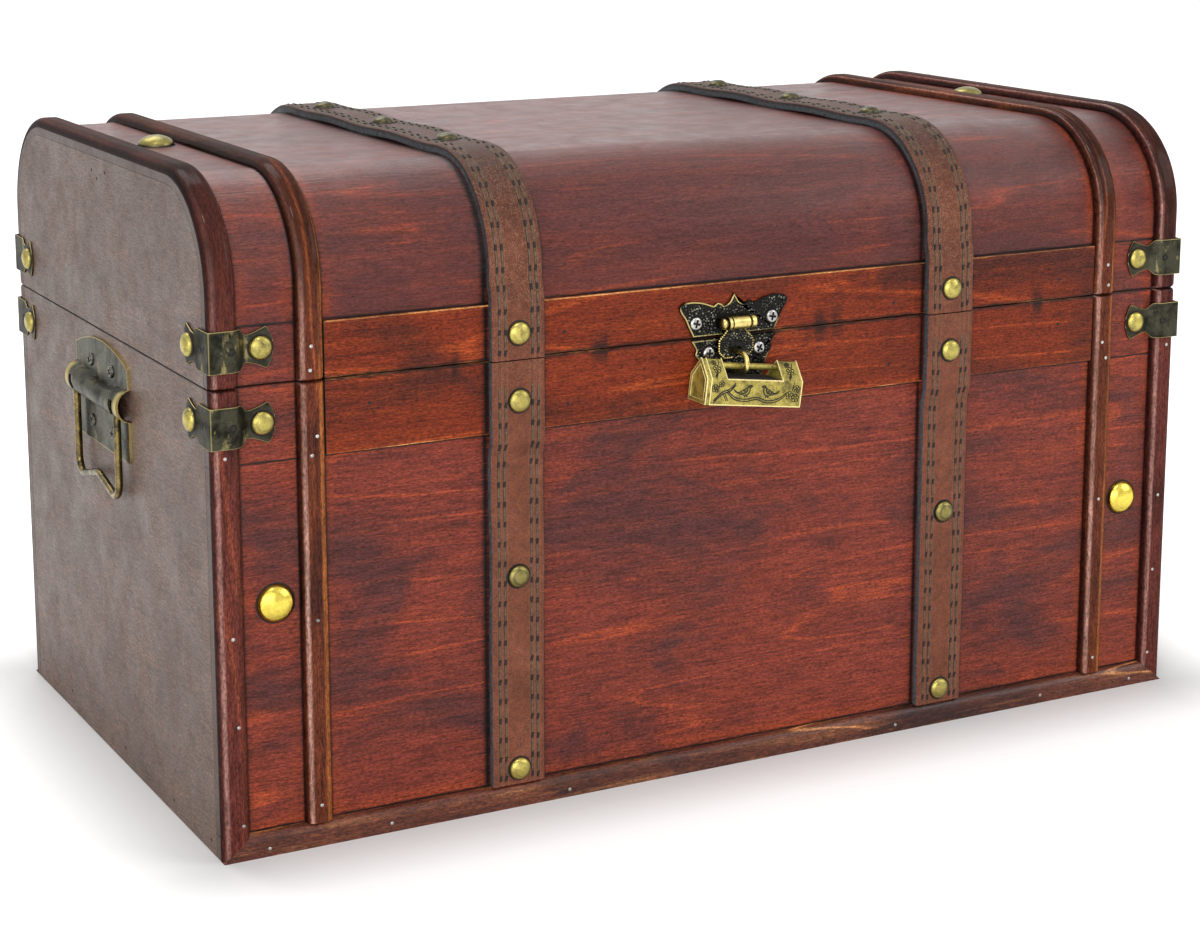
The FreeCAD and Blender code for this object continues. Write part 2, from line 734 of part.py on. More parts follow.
def nails():
    """Round heads on the straps and brackets, and the large domes between moulding and strip."""
    on_batten = f"({BATTEN_FACE} + strap_thickness)"
    on_panel = f"({FACE} + strap_thickness)"
    base_places = bracket_studs("(base_height - bracket_seam)")
    lid_places = bracket_studs(f"({SEAT} + bracket_seam)")
    base_domes = []
    lid_domes = []
    for side, dome_height in (("-", "dome_height_left"), ("", "dome_height_right")):
        strap = f"{side}{STRAP_MIDDLE}"
        dome = f"{side}({END} - dome_inset)"
        for facing, y in (("front", "-"), ("back", "")):
            base_places += [
                ((strap, y + on_batten, "base_height - rim_stud_drop"), facing),
                ((strap, y + on_panel, "middle_stud_height"), facing),
                ((strap, y + on_panel, "foot_stud_height"), facing),
            ]
            lid_places.append(((strap, y + on_batten, f"{SEAT} + lid_stud_height"), facing))
            base_domes.append(((dome, y + FACE, dome_height), facing))
        for y in ("-top_stud_spacing", "0", "top_stud_spacing"):
            lid_places.append(((strap, y, f"{TOP} + strap_thickness"), "top"))
        lid_domes.append(((dome, "0", TOP), "top"))
    return [
        heads("base_stud_nails", "stud_diameter", "stud_rise", base_places),
        heads("lid_stud_nails", "stud_diameter", "stud_rise", lid_places),
        heads("base_dome_nails", "dome_diameter", "dome_rise", base_domes),
        heads("lid_dome_nails", "dome_diameter", "dome_rise", lid_domes),
    ]


def channel_section(inner, upper_root, upper_crest):
    """Section of the handle's channel, or of the hollow inside it."""
    sheet_in = "handle_sheet" if inner else "0"
    narrowing = "0.6 * handle_sheet" if inner else "0"
    back = "handle_sheet" if inner else "0"
    rise = f"-(channel_rise - {sheet_in})"
    crest_round = "channel_crest / 3"
    return [
        (back, f"-(channel_root - {sheet_in})"),
        (back, f"{upper_root} - {sheet_in}"),
        (rise, f"{upper_crest} - {narrowing}", crest_round),
        (rise, f"-(channel_crest - {narrowing})", crest_round),
    ]


def handle_plate():
    """Stamped plate with an arched top and a channel, drawn in at its middle, that holds the bail."""
    plate = body("handle_plate_left")
    half = "handle_width / 2"
    flank = f"sqrt(({half}) ^ 2 + (2 * handle_arch) ^ 2)"
    corner_round = "2 * handle_sheet"
    top_round = f"0.9 * {flank} * ({half}) / (2 * handle_arch)"
    outline = [
        (half, "-handle_drop", corner_round),
        (half, "handle_shoulder"),
        ("0", "handle_shoulder + 2 * handle_arch", top_round),
        (f"-{half}", "handle_shoulder"),
        (f"-{half}", "-handle_drop", corner_round),
    ]
    pad(plate, trace(sketch_on(plate, "YZ_Plane"), outline), "handle_sheet", backwards=True)
    ends = ("channel_root", "channel_crest")
    middle = ("channel_scoop_root", "channel_scoop_crest")
    for kind, inner in (("AdditiveLoft", False), ("SubtractiveLoft", True)):
        sections = []
        for offset, upper in ((f"-{half}", ends), ("0", middle), (half, ends)):
            section = sketch_on(plate, "XZ_Plane", offset)
            sections.append(trace(section, channel_section(inner, *upper)))
        loft(plate, kind, sections)
    slots = sketch_on(plate, "YZ_Plane", "-handle_sheet")
    leg = "bail_width / 2"
    near = f"{leg} - bail_wire / 2 - bail_bend / 2"
    far = f"{leg} + bail_wire / 2 + 2 * bail_play"
    slot_top = "bail_wire / 2 + 2 * bail_play"
    slot_foot = "-channel_root - 1"
    for side in ("", "-"):
        slot = [(f"{side}({near})", slot_foot), (f"{side}({far})", slot_foot)]
        slot += [(f"{side}({far})", slot_top), (f"{side}({near})", slot_top)]
        trace(slots, slot)
    pocket(plate, slots, "channel_rise")
    place(plate, f"-{END}", "handle_offset", "handle_height")
    return [plate, mirrored("handle_plate_right", plate, LENGTHWAYS)]


def bails():
    """Wire bails that hang from the channels, with a dipped grip."""
    bail = body("bail_left")
    leg = "bail_width / 2"
    inside = f"{leg} - bail_pivot"
    half = [
        (inside, "0"),
        (leg, "0", "bail_bend"),
        (leg, "-bail_length", "bail_corner"),
    ]
    grip = ("0", "-bail_length + bail_dip", "bail_grip_bend")
    other = [(f"-({corner[0]})", *corner[1:]) for corner in reversed(half)]
    path = trace(sketch_on(bail, "YZ_Plane"), half + [grip] + other, closed=False)
    section = ring(sketch_on(bail, "XZ_Plane", f"-({inside})"), "bail_wire / 2")
    pipe(bail, section, path)
    stand_off = "(channel_rise - handle_sheet - bail_wire / 2 - bail_play)"
    place(bail, f"-{END} - {stand_off}", "handle_offset", "handle_height")
    return [bail, mirrored("bail_right", bail, LENGTHWAYS)]


def handle_screws():
    """Four screws in each handle plate, above and below the channel."""
    places = []
    rows = (
        ("handle_height + (channel_root + handle_shoulder) / 2", "handle_width / 5"),
        ("handle_height - (channel_root + handle_drop) / 2", "handle_width / 5"),
    )
    for facing, x_sign in (("left", "-"), ("right", "")):
        for z, across in rows:
            for y_sign in ("-", "+"):
                x = f"{x_sign}({END} + handle_sheet)"
                places.append(((x, f"handle_offset {y_sign} {across}", z), facing))
    return places


def hinges():
    """Butt hinges on the back battens. The base keeps the pin and the two end knuckles."""
    left = f"(-{HINGE_MIDDLE} - hinge_width / 2)"
    third = "(hinge_width / 3)"
    axis_y = f"({BATTEN_FACE} + hinge_knuckle + hinge_play)"
    axis_z = "(base_height + seam_gap / 2)"
    swept = "hinge_knuckle + hinge_play"

    def round_piece(label, radius, start, length):
        return rod(label, radius, length, start, axis_y, axis_z)

    def bore(label):
        return round_piece(label, "hinge_pin + pin_fit", f"{left} - 1", "hinge_width + 2")

    middle = f"{left} + {third}"
    right = f"{left} + 2 * {third}"
    lid_plate = board(
        "hinge_lid_plate",
        ("hinge_width", "hinge_leaf", "hinge_leaf_height"),
        (left, BATTEN_FACE, SEAT),
    )
    lid_knuckle = round_piece(
        "hinge_lid_knuckle", "hinge_knuckle", f"{middle} + hinge_play / 2", f"{third} - hinge_play"
    )
    room = f"{third} + hinge_play / 2"
    lid_leaf = cut(
        "hinge_lid_leaf_left",
        fuse("hinge_lid_blank", [lid_plate, lid_knuckle]),
        [
            bore("hinge_lid_bore"),
            round_piece("hinge_lid_room_one", swept, left, room),
            round_piece("hinge_lid_room_two", swept, f"{right} - hinge_play / 2", room),
        ],
    )
    base_plate = board(
        "hinge_base_plate",
        ("hinge_width", "hinge_leaf", "hinge_leaf_height"),
        (left, BATTEN_FACE, "base_height - hinge_leaf_height"),
    )
    end_knuckle = f"{third} - hinge_play / 2"
    base_knuckles = [
        round_piece("hinge_base_knuckle_one", "hinge_knuckle", left, end_knuckle),
        round_piece("hinge_base_knuckle_two", "hinge_knuckle", f"{right} + hinge_play / 2", end_knuckle),
    ]
    base_leaf = cut(
        "hinge_base_leaf_left",
        fuse("hinge_base_blank", [base_plate] + base_knuckles),
        [
            bore("hinge_base_bore"),
            round_piece("hinge_base_room", swept, f"{middle} - hinge_play / 2", f"{third} + hinge_play"),
        ],
    )
    pin = fuse(
        "hinge_pin_left",
        [
            round_piece("hinge_pin_rod", "hinge_pin", left, "hinge_width"),
            round_piece("hinge_pin_head_one", "hinge_knuckle", f"{left} - hinge_pin_head", "hinge_pin_head"),
            round_piece("hinge_pin_head_two", "hinge_knuckle", f"{left} + hinge_width", "hinge_pin_head"),
        ],
    )
    nodes = []
    for name, piece in (("hinge_lid_leaf", lid_leaf), ("hinge_base_leaf", base_leaf), ("hinge_pin", pin)):
        nodes += [piece, mirrored(f"{name}_right", piece, LENGTHWAYS)]
    return nodes


def hinge_screws(z):
    """Three screws in each of two leaves at one height."""
    places = []
    for side in ("-", "+"):
        for step in (-1, 0, 1):
            x = f"{side}{HINGE_MIDDLE} + ({step}) * hinge_width / 3"
            places.append(((x, f"{BATTEN_FACE} + hinge_leaf", z), "back"))
    return places


def hasp_plate(label, half, z):
    """Butterfly plate on a batten from the right half of its outline."""
    plate = body(label)
    pad(plate, trace(sketch_on(plate, "XZ_Plane"), both_sides(half)), "hasp_sheet")
    return place(plate, "hasp_offset", f"-{BATTEN_FACE}", z)


HASP_AXIS = (
    "hasp_offset",
    f"(-({BATTEN_FACE} + hasp_sheet + hasp_axis_proud))",
    f"({SEAT} + hasp_axis_rise)",
)


def hasp_rod(label, radius, start, length):
    """Round piece on the axis of the hasp's pin."""
    return rod(label, radius, length, f"hasp_offset + {start}", *HASP_AXIS[1:])


def hasp():
    """Upper and lower butterfly plates, pin, staple and tongue."""
    wing = "hasp_wing"
    rise = "hasp_wing_rise"
    upper_half = [
        (f"0.77 * {wing}", "hasp_edge"),
        (f"0.86 * {wing}", f"0.45 * {rise}", f"0.25 * {rise}"),
        (wing, rise, f"0.04 * {rise}"),
        (f"0.79 * {wing}", f"1.2 * {rise}", f"0.35 * {rise}"),
        (f"0.45 * {wing}", f"0.92 * {rise}", f"0.3 * {rise}"),
        (f"0.28 * {wing}", f"1.08 * {rise}", f"0.1 * {rise}"),
        (f"0.14 * {wing}", f"0.93 * {rise}", f"0.1 * {rise}"),
        (f"0.05 * {wing}", f"1.1 * {rise}", f"0.15 * {rise}"),
        ("0", f"1.38 * {rise}", f"0.05 * {rise}"),
    ]
    upper_plate = hasp_plate("hasp_upper_blank", upper_half, SEAT)
    barrel = "(hasp_barrel / 2 + hasp_play)"
    ends = (f"-{barrel} - hasp_end_knuckle", barrel)
    knuckles = []
    for i, start in enumerate(ends, start=1):
        knuckles.append(hasp_rod(f"hasp_knuckle_{i}", "hasp_knuckle", start, "hasp_end_knuckle"))
        web = board(
            f"hasp_web_{i}",
            ("hasp_end_knuckle", "hasp_axis_proud", "hasp_knuckle * 1.4"),
            (f"hasp_offset + {start}", HASP_AXIS[1], f"{HASP_AXIS[2]} - hasp_knuckle * 0.7"),
        )
        knuckles.append(web)
    whole = "(hasp_barrel + 2 * hasp_play + 2 * hasp_end_knuckle)"
    bore_radius = "hasp_pin + pin_fit"
    bore = hasp_rod("hasp_upper_bore", bore_radius, f"-{whole} / 2 - 1", f"{whole} + 2")
    upper = cut("hasp_upper_plate", fuse("hasp_upper_solid", [upper_plate] + knuckles), [bore])
    pin = hasp_rod("hasp_pin", "hasp_pin", f"-{whole} / 2", whole)
    tail = "hasp_tail"
    lower_half = [
        ("0", f"-0.9 * {tail}", f"0.2 * {tail}"),
        (f"0.28 * {tail}", f"-{tail}", f"0.12 * {tail}"),
        (f"0.66 * {tail}", f"-0.84 * {tail}", f"0.2 * {tail}"),
        (f"1.02 * {tail}", f"-0.58 * {tail}", f"0.18 * {tail}"),
        (f"1.04 * {tail}", f"-0.36 * {tail}", f"0.15 * {tail}"),
        (f"0.79 * {wing}", "-hasp_edge"),
    ]
    lower = hasp_plate("hasp_lower_plate", lower_half, "base_height")
    return [upper, pin, lower, staple(), tongue()]


def staple():
    """Wire staple on the lower plate, in the plane across the seam."""
    piece = body("hasp_staple")
    turn = "(staple_radius * 0.98)"
    path = [
        ("0", "staple_radius"),
        ("-staple_reach", "staple_radius", turn),
        ("-staple_reach", "-staple_radius", turn),
        ("0", "-staple_radius"),
    ]
    spine = trace(sketch_on(piece, "YZ_Plane"), path, closed=False)
    section = ring(sketch_on(piece, "XZ_Plane"), "staple_wire / 2", "0", "staple_radius")
    pipe(piece, section, spine)
    return place(piece, "hasp_offset", f"-{BATTEN_FACE} - hasp_sheet", "base_height - staple_drop")


def tongue():
    """Hinged tongue, forked by the slot that the staple stands in."""
    piece = body("hasp_tongue_blank")
    wide = "tongue_half_width"
    reach = "tongue_reach"
    slot = "tongue_slot / 2"
    half = [
        ("hasp_barrel / 2", "0"),
        ("hasp_barrel / 2", f"-0.25 * {reach}", f"0.1 * {reach}"),
        (wide, f"-0.5 * {reach}", f"0.15 * {reach}"),
        (wide, f"-0.82 * {reach}", f"0.15 * {reach}"),
        (f"0.7 * {wide}", f"-{reach}", f"0.06 * {reach}"),
        (slot, f"-{reach}"),
        (slot, "-tongue_slot_top", "0.4 * tongue_slot"),
    ]
    outline = [(f"-({corner[0]})", *corner[1:]) for corner in half] + half[::-1]
    pad(piece, trace(sketch_on(piece, "XZ_Plane"), outline), "tongue_sheet")
    place(piece, "hasp_offset", f"-{BATTEN_FACE} - hasp_sheet - tongue_gap", HASP_AXIS[2])
    barrel = hasp_rod("hasp_tongue_barrel", "hasp_knuckle", "(-hasp_barrel / 2)", "hasp_barrel")
    bore = hasp_rod("hasp_tongue_bore", "hasp_pin + pin_fit", "(-hasp_barrel)", "2 * hasp_barrel")
    return cut("hasp_tongue", fuse("hasp_tongue_solid", [piece, barrel]), [bore])


def hasp_screws(across, z):
    """Pair of screws in a butterfly plate."""
    y = f"-({BATTEN_FACE} + hasp_sheet)"
    return [((f"hasp_offset {side} {across}", y, z), "front") for side in ("-", "+")]


def screws():
    """Screw heads that ride with the base and with the lid."""
    base_hasp = hasp_screws("hasp_lower_screw", "base_height - hasp_screw_seam")
    lid_hasp = hasp_screws("hasp_upper_screw", f"{SEAT} + hasp_screw_seam")
    base_hinge = hinge_screws("base_height - hinge_leaf_height * 0.6")
    lid_hinge = hinge_screws(f"{SEAT} + hinge_leaf_height * 0.6")
    return [
        heads("handle_screws", "screw_diameter", "screw_rise", handle_screws()),
        heads("hasp_base_screws", "screw_diameter", "screw_rise", base_hasp),
        heads("hasp_lid_screws", "screw_diameter", "screw_rise", lid_hasp),
        heads("hinge_base_screws", "hinge_screw", "screw_rise", base_hinge),
        heads("hinge_lid_screws", "hinge_screw", "screw_rise", lid_hinge),
    ]


# Padlock, in its own frame: X along the rod, origin in the middle of the rod's axis
LOCK_RIDGE = "lock_rod_drop"
LOCK_EAVE = "(lock_rod_drop - lock_roof)"
LOCK_FOOT = "(lock_rod_drop - lock_roof - lock_wall)"
LOCK_LEFT = "(-lock_length / 2)"
CHAMBER_FOOT = f"({LOCK_FOOT} + lock_floor)"
CHAMBER_MIDDLE = f"({CHAMBER_FOOT} + lock_chamber_height / 2)"


def house(inset="0"):
    """Five-sided section of the padlock, drawn in all round by an inset."""
    slope = "atan(2 * lock_roof / lock_depth)"
    half = f"(lock_depth / 2 - {inset})"
    eave = f"{LOCK_EAVE} - {inset} * tan(({slope}) / 2)"
    return [
        (half, f"{LOCK_FOOT} + {inset}"),
        (half, eave),
        ("0", f"{LOCK_RIDGE} - {inset} / cos({slope})", "lock_ridge"),
        (f"-{half}", eave),
        (f"-{half}", f"{LOCK_FOOT} + {inset}"),
    ]


def slab(half_width, foot, top):
    """Upright rectangle about the middle plane of a section."""
    return [
        (half_width, foot),
        (half_width, top),
        (f"-({half_width})", top),
        (f"-({half_width})", foot),
    ]


def hang(piece):
    """Hang a padlock piece on the staple, tilted."""
    piece.Placement = Placement(Vector(), Rotation(DEPTHWAYS, number("lock_tilt")))
    bind(piece, "Placement.Rotation.Angle", "lock_tilt")
    inside = "(staple_radius - staple_wire / 2 - lock_rod / 2 - lock_hang)"
    place(
        piece,
        "hasp_offset + lock_shift * cos(lock_tilt)",
        f"-({BATTEN_FACE} + hasp_sheet + lock_depth / 2 + lock_clearance)",
        f"base_height - staple_drop - {inside} - lock_shift * sin(lock_tilt)",
    )
    return piece


def padlock_body():
    """Hollow case with two posts, a bore for the rod, a spring chamber and a keyhole."""
    case = body("padlock_body")
    start = f"({LOCK_LEFT} + lock_end_plate)"
    pad(case, trace(sketch_on(case, "YZ_Plane", start), house()), "lock_length - lock_end_plate")
    notch = sketch_on(case, "XZ_Plane")
    trace(notch, slab("lock_notch / 2", LOCK_EAVE, f"{LOCK_RIDGE} + lock_roof"))
    pocket(case, notch)
    bore = ring(sketch_on(case, "YZ_Plane", start), "lock_rod / 2 + lock_fit")
    bore_length = "lock_length / 2 + lock_notch / 2 + lock_rod_seat - lock_end_plate + lock_fit"
    pocket(case, bore, bore_length, backwards=True)
    chamber = sketch_on(case, "YZ_Plane", start)
    trace(chamber, slab("lock_chamber_width / 2", CHAMBER_FOOT, f"{CHAMBER_FOOT} + lock_chamber_height"))
    pocket(case, chamber, "lock_length - lock_end_plate - lock_end_wall", backwards=True)
    keyhole = sketch_on(case, "YZ_Plane", "lock_length / 2")
    key_foot = f"{CHAMBER_MIDDLE} - lock_keyhole_height / 2"
    trace(keyhole, slab("lock_keyhole_width / 2", key_foot, f"{key_foot} + lock_keyhole_height"))
    pocket(case, keyhole, "lock_end_wall")
    return hang(case)


def padlock_bolt():
    """End plate, rod across the posts, and a stem with two spring blades in the chamber."""
    bolt = body("padlock_bolt")
    start = f"({LOCK_LEFT} + lock_end_plate)"
    pad(bolt, trace(sketch_on(bolt, "YZ_Plane", LOCK_LEFT), house()), "lock_end_plate")
    field = trace(sketch_on(bolt, "YZ_Plane", LOCK_LEFT), house("lock_end_border"))
    pocket(bolt, field, "lock_end_recess", backwards=True)
    bar = ring(sketch_on(bolt, "YZ_Plane", start), "lock_rod / 2")
    pad(bolt, bar, "lock_length / 2 - lock_end_plate + lock_notch / 2 + lock_rod_seat")
    stem = sketch_on(bolt, "YZ_Plane", start)
    half_stem = "lock_stem / 2"
    trace(stem, slab(half_stem, f"{CHAMBER_MIDDLE} - {half_stem}", f"{CHAMBER_MIDDLE} + {half_stem}"))
    pad(bolt, stem, "lock_stem_length")
    blades = sketch_on(bolt, "XY_Plane", CHAMBER_MIDDLE)
    tip = f"{start} + lock_stem_length"
    heel = f"{tip} - lock_spring_length"
    spread = "(lock_chamber_width / 2 - 2 * lock_fit)"
    outline = [
        (tip, half_stem),
        (heel, spread),
        (heel, f"{spread} - lock_spring"),
        (f"{tip} - lock_spring_length / 4", f"{half_stem} / 2"),
        (f"{tip} - lock_spring_length / 4", f"-{half_stem} / 2"),
        (heel, f"lock_spring - {spread}"),
        (heel, f"-{spread}"),
        (tip, f"-{half_stem}"),
    ]
    pad(bolt, trace(blades, outline), "lock_stem", symmetric=True)
    return hang(bolt)


nodes = (
    wooden_box()
    + base_mouldings()
    + base_straps()
    + lid_shell()
    + lid_mouldings()
    + lid_straps()
    + brackets()
    + nails()
    + handle_plate()
    + bails()
    + hinges()
    + hasp()
    + screws()
    + [padlock_body(), padlock_bolt()]
)
doc.recompute()

failed = [thing.Label for thing in doc.Objects if {"Invalid", "Error"} & set(thing.State)]
shapes = {node.Label: Part.getShape(node) for node in nodes}
failed += [label for label, shape in shapes.items() if shape.isNull() or not shape.isValid()]
if failed:
    raise RuntimeError(f"pieces that did not build: {failed}")

os.makedirs("parts", exist_ok=True)
for label, shape in shapes.items():
    shape.exportStep(f"parts/{label}.step")
print(f"{len(shapes)} nodes, {sum(len(shape.Solids) for shape in shapes.values())} solids")
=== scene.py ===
"""Looks of the treasure chest: wood, leather, brass, studio and camera.

Lengths are in millimetres until a mesh is made.
"""

import itertools
import math
import random

import bmesh
import bpy
from mathutils import Matrix, Vector, noise


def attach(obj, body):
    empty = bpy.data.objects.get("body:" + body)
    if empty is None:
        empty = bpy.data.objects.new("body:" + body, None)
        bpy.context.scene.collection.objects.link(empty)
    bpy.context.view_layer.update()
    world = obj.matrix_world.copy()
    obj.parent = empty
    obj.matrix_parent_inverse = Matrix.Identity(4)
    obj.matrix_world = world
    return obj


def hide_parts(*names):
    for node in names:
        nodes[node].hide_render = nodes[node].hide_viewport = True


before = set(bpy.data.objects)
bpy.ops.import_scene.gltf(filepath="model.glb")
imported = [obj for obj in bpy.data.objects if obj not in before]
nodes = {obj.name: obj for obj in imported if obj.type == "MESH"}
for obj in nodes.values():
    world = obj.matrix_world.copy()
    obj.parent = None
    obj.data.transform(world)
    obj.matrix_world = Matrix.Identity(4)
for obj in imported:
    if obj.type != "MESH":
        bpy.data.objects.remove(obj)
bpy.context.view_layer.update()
chance = random.Random(11)

MM = 0.001
MIDDLE = Vector((0, 0, 0.14))  # of the chest, in metres
SIDES = ("left", "right")
FRONT_BACK = ("front", "back")
BODIES = ("base", "lid")

# Outer faces of the panels, rims of base and lid, top and bend of the lid
END = 250.0
FACE = 136.5
RIM = 202.0
SEAT = 202.5
SEAM = 202.2
TOP = 285.0
BEND = 45.0

# Thickness and place of what sits on the panels
BATTEN = 2.0
MOULDING_PROUD = 4.3
STRAP_X = 112.5
STRAP_HALF = 12.5
STRAP_THICK = 4.2
STITCH_ROWS = (-9.2, -6.4, 6.4, 9.2)
STRAP_MIDDLE_NAIL = 106.0
TOP_NAIL_PITCH = 72
DOME_X = 223
BRACKET_LEVELS = {"base": 186.5, "lid": 218.0}
BRACKET_THICK = 0.9
BRACKET_REACH = 28.5
BRACKET_NAIL = 22.9
HANDLE_MIDDLE = (3.5, 174.5)
HANDLE_THICK = 1.1
HASP_X = -4.0
HASP_SEAM = (RIM + SEAT) / 2
HASP_THICK = 1.2
HASP_FACE = FACE + BATTEN + HASP_THICK
HASP_AXIS = Vector((HASP_X, -142.9, 208.5))
HASP_SCREWS = {"lid": (19.7, 6.95), "base": (13.0, -6.95)}

# Heads of nails as (diameter, rise)
STUD_HEAD = (10.4, 3.1)
DOME_HEAD = (16.6, 4.8)

# Turns of a piece drawn facing up, so that it faces one side of the chest
FACING = {
    "front": Matrix(((1, 0, 0), (0, 0, -1), (0, 1, 0))).to_4x4(),
    "back": Matrix(((-1, 0, 0), (0, 0, 1), (0, 1, 0))).to_4x4(),
    "left": Matrix(((0, 0, -1), (-1, 0, 0), (0, 1, 0))).to_4x4(),
    "right": Matrix(((0, 0, 1), (1, 0, 0), (0, 1, 0))).to_4x4(),
    "top": Matrix.Identity(4),
}


def facing(side, point):
    """Place for a piece that sits at a point and looks out of one side of the chest."""
    return Matrix.Translation(Vector(point)) @ FACING[side]


def both_faces(x, proud, z):
    """Places on the front and on the back, proud of the panels."""
    return [("front", (x, -FACE - proud, z)), ("back", (x, FACE + proud, z))]


def both_ends(y, z):
    """Places on the left and on the right end panel."""
    return [("left", (-END, y, z)), ("right", (END, y, z))]


def new_object(name, data):
    """New object in the scene."""
    thing = bpy.data.objects.new(name, data)
    bpy.context.scene.collection.objects.link(thing)
    return thing


class Shape:
    """Points and faces gathered from several forms, each point with a tone for the material."""

    def __init__(self):
        self.points = []
        self.faces = []
        self.tones = []
        self.looks = []

    def add(self, form, place=None, tone=0.0, look=0):
        """Take in a form at a place, with one tone or a list of them."""
        points, faces = form
        start = len(self.points)
        for i, point in enumerate(points):
            point = Vector(point)
            self.points.append(place @ point if place else point)
            self.tones.append(tone[i] if isinstance(tone, list) else tone)
        for face in faces:
            self.faces.append([start + i for i in face])
            self.looks.append(look)
        return self

    def piece(self, name, body, slot, materials, replaces=(), sharp=40):
        """Mesh object that rides on a body."""
        mesh = bpy.data.meshes.new(name)
        mesh.from_pydata([point * MM for point in self.points], [], self.faces)
        for material in materials:
            mesh.materials.append(material)
        mesh.polygons.foreach_set("material_index", self.looks)
        layer = mesh.attributes.new("tone", "FLOAT", "POINT")
        layer.data.foreach_set("value", self.tones)
        shaped = bmesh.new()
        shaped.from_mesh(mesh)
        bmesh.ops.recalc_face_normals(shaped, faces=shaped.faces)
        shaped.to_mesh(mesh)
        shaped.free()
        mesh.shade_smooth()
        mesh.set_sharp_from_angle(angle=math.radians(sharp))
        piece = new_object(name, mesh)
        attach(piece, body)
        if replaces:
            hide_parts(*replaces)


def loft(rings, around=False):
    """Skin over closed rings of equal length, capped unless it closes around."""
    count = len(rings[0])
    points = [point for ring in rings for point in ring]
    faces = []
    turns = len(rings) if around else len(rings) - 1
    for i in range(turns):
        low = i * count
        high = (i + 1) % len(rings) * count
        for j in range(count):
            k = (j + 1) % count
            faces.append((low + j, low + k, high + k, high + j))
    if not around:
        faces.append(tuple(range(count))[::-1])
        faces.append(tuple(range(len(points) - count, len(points))))
    return points, faces


def block(low, high):
    """Box between two corners."""
    across, up = zip(low[:2], high[:2])
    corners = ((0, 0), (1, 0), (1, 1), (0, 1))
    return loft([[(across[i], up[j], level) for i, j in corners] for level in (low[2], high[2])])


def lathe(profile, sides):
    """Turned form from (radius, height) pairs."""
    points = []
    faces = []
    rows = []
    for radius, height in profile:
        start = len(points)
        if radius == 0:
            points.append((0, 0, height))
            rows.append([start])
            continue
        for i in range(sides):
            angle = 2 * math.pi * i / sides
            points.append((radius * math.cos(angle), radius * math.sin(angle), height))
        rows.append(list(range(start, start + sides)))
    for low, high in zip(rows, rows[1:]):
        for i in range(sides):
            j = (i + 1) % sides
            corners = (low[i % len(low)], low[j % len(low)], high[j % len(high)], high[i % len(high)])
            faces.append(tuple(dict.fromkeys(corners)))
    return points, faces


def tube(path, radius, sides, closed=False, flat=1.0):
    """Round bar along a path. A flat bar is thinner across its second direction."""
    path = [Vector(point) for point in path]
    count = len(path)
    rings = []
    side = None
    for i, point in enumerate(path):
        ahead = path[(i + 1) % count] if closed or i + 1 < count else point
        behind = path[i - 1] if closed or i > 0 else point
        along = (ahead - behind).normalized()
        side = along.orthogonal() if side is None else side
        side = (side - along * side.dot(along)).normalized()
        up = along.cross(side) * flat
        ring = []
        for j in range(sides):
            angle = 2 * math.pi * j / sides
            ring.append(point + (side * math.cos(angle) + up * math.sin(angle)) * radius)
        rings.append(ring)
    return loft(rings, around=closed)


def rounded(corners, turn):
    """Outline through corners (across, up, radius), with an arc at each in steps of some degrees."""
    outline = []
    for i, (across, up, radius) in enumerate(corners):
        here = Vector((across, up))
        if radius == 0:
            outline.append(here)
            continue
        before = (Vector(corners[i - 1][:2]) - here).normalized()
        after = (Vector(corners[(i + 1) % len(corners)][:2]) - here).normalized()
        middle = (before + after).normalized()
        half_cosine = before.dot(middle)
        reach = radius / math.sqrt(1 - half_cosine**2)
        centre = here + middle * reach
        start = here + before * reach * half_cosine - centre
        finish = here + after * reach * half_cosine - centre
        sweep = math.atan2(start.x * finish.y - start.y * finish.x, start.dot(finish))
        steps = max(2, math.ceil(abs(math.degrees(sweep)) / turn))
        for step in range(steps + 1):
            outline.append(centre + Matrix.Rotation(sweep * step / steps, 2) @ start)
    return outline


def curve(points, steps=5):
    """Smooth open line through points."""
    points = [Vector(point) for point in points]
    line = []
    for i in range(len(points) - 1):
        a, b = points[max(i - 1, 0)], points[i]
        c, d = points[i + 1], points[min(i + 2, len(points) - 1)]
        for step in range(steps):
            t = step / steps
            square = (2 * a - 5 * b + 4 * c - d) * t**2
            cube = (3 * b - a - 3 * c + d) * t**3
            line.append(0.5 * (2 * b + (c - a) * t + square + cube))
    return line + [points[-1]]


def smooth(value):
    """Eased step from 0 to 1."""
    value = min(1.0, max(0.0, value))
    return value * value * (3 - 2 * value)


def scaled(colour, factor):
    return tuple(factor * c for c in colour)


class Signal:
    """Output of a node. Arithmetic on it adds the nodes that work it out."""

    def __init__(self, tree, socket):
        self.tree = tree
        self.socket = socket

    def __add__(self, other):
        return self.tree.math("ADD", self, other)

    def __sub__(self, other):
        return self.tree.math("SUBTRACT", self, other)

    def __rsub__(self, other):
        return self.tree.math("SUBTRACT", other, self)

    def __mul__(self, other):
        return self.tree.math("MULTIPLY", self, other)

    def __truediv__(self, other):
        return self.tree.math("DIVIDE", self, other)

    def __gt__(self, other):
        return self.tree.math("GREATER_THAN", self, other)

    def __abs__(self):
        return self.tree.math("ABSOLUTE", self)


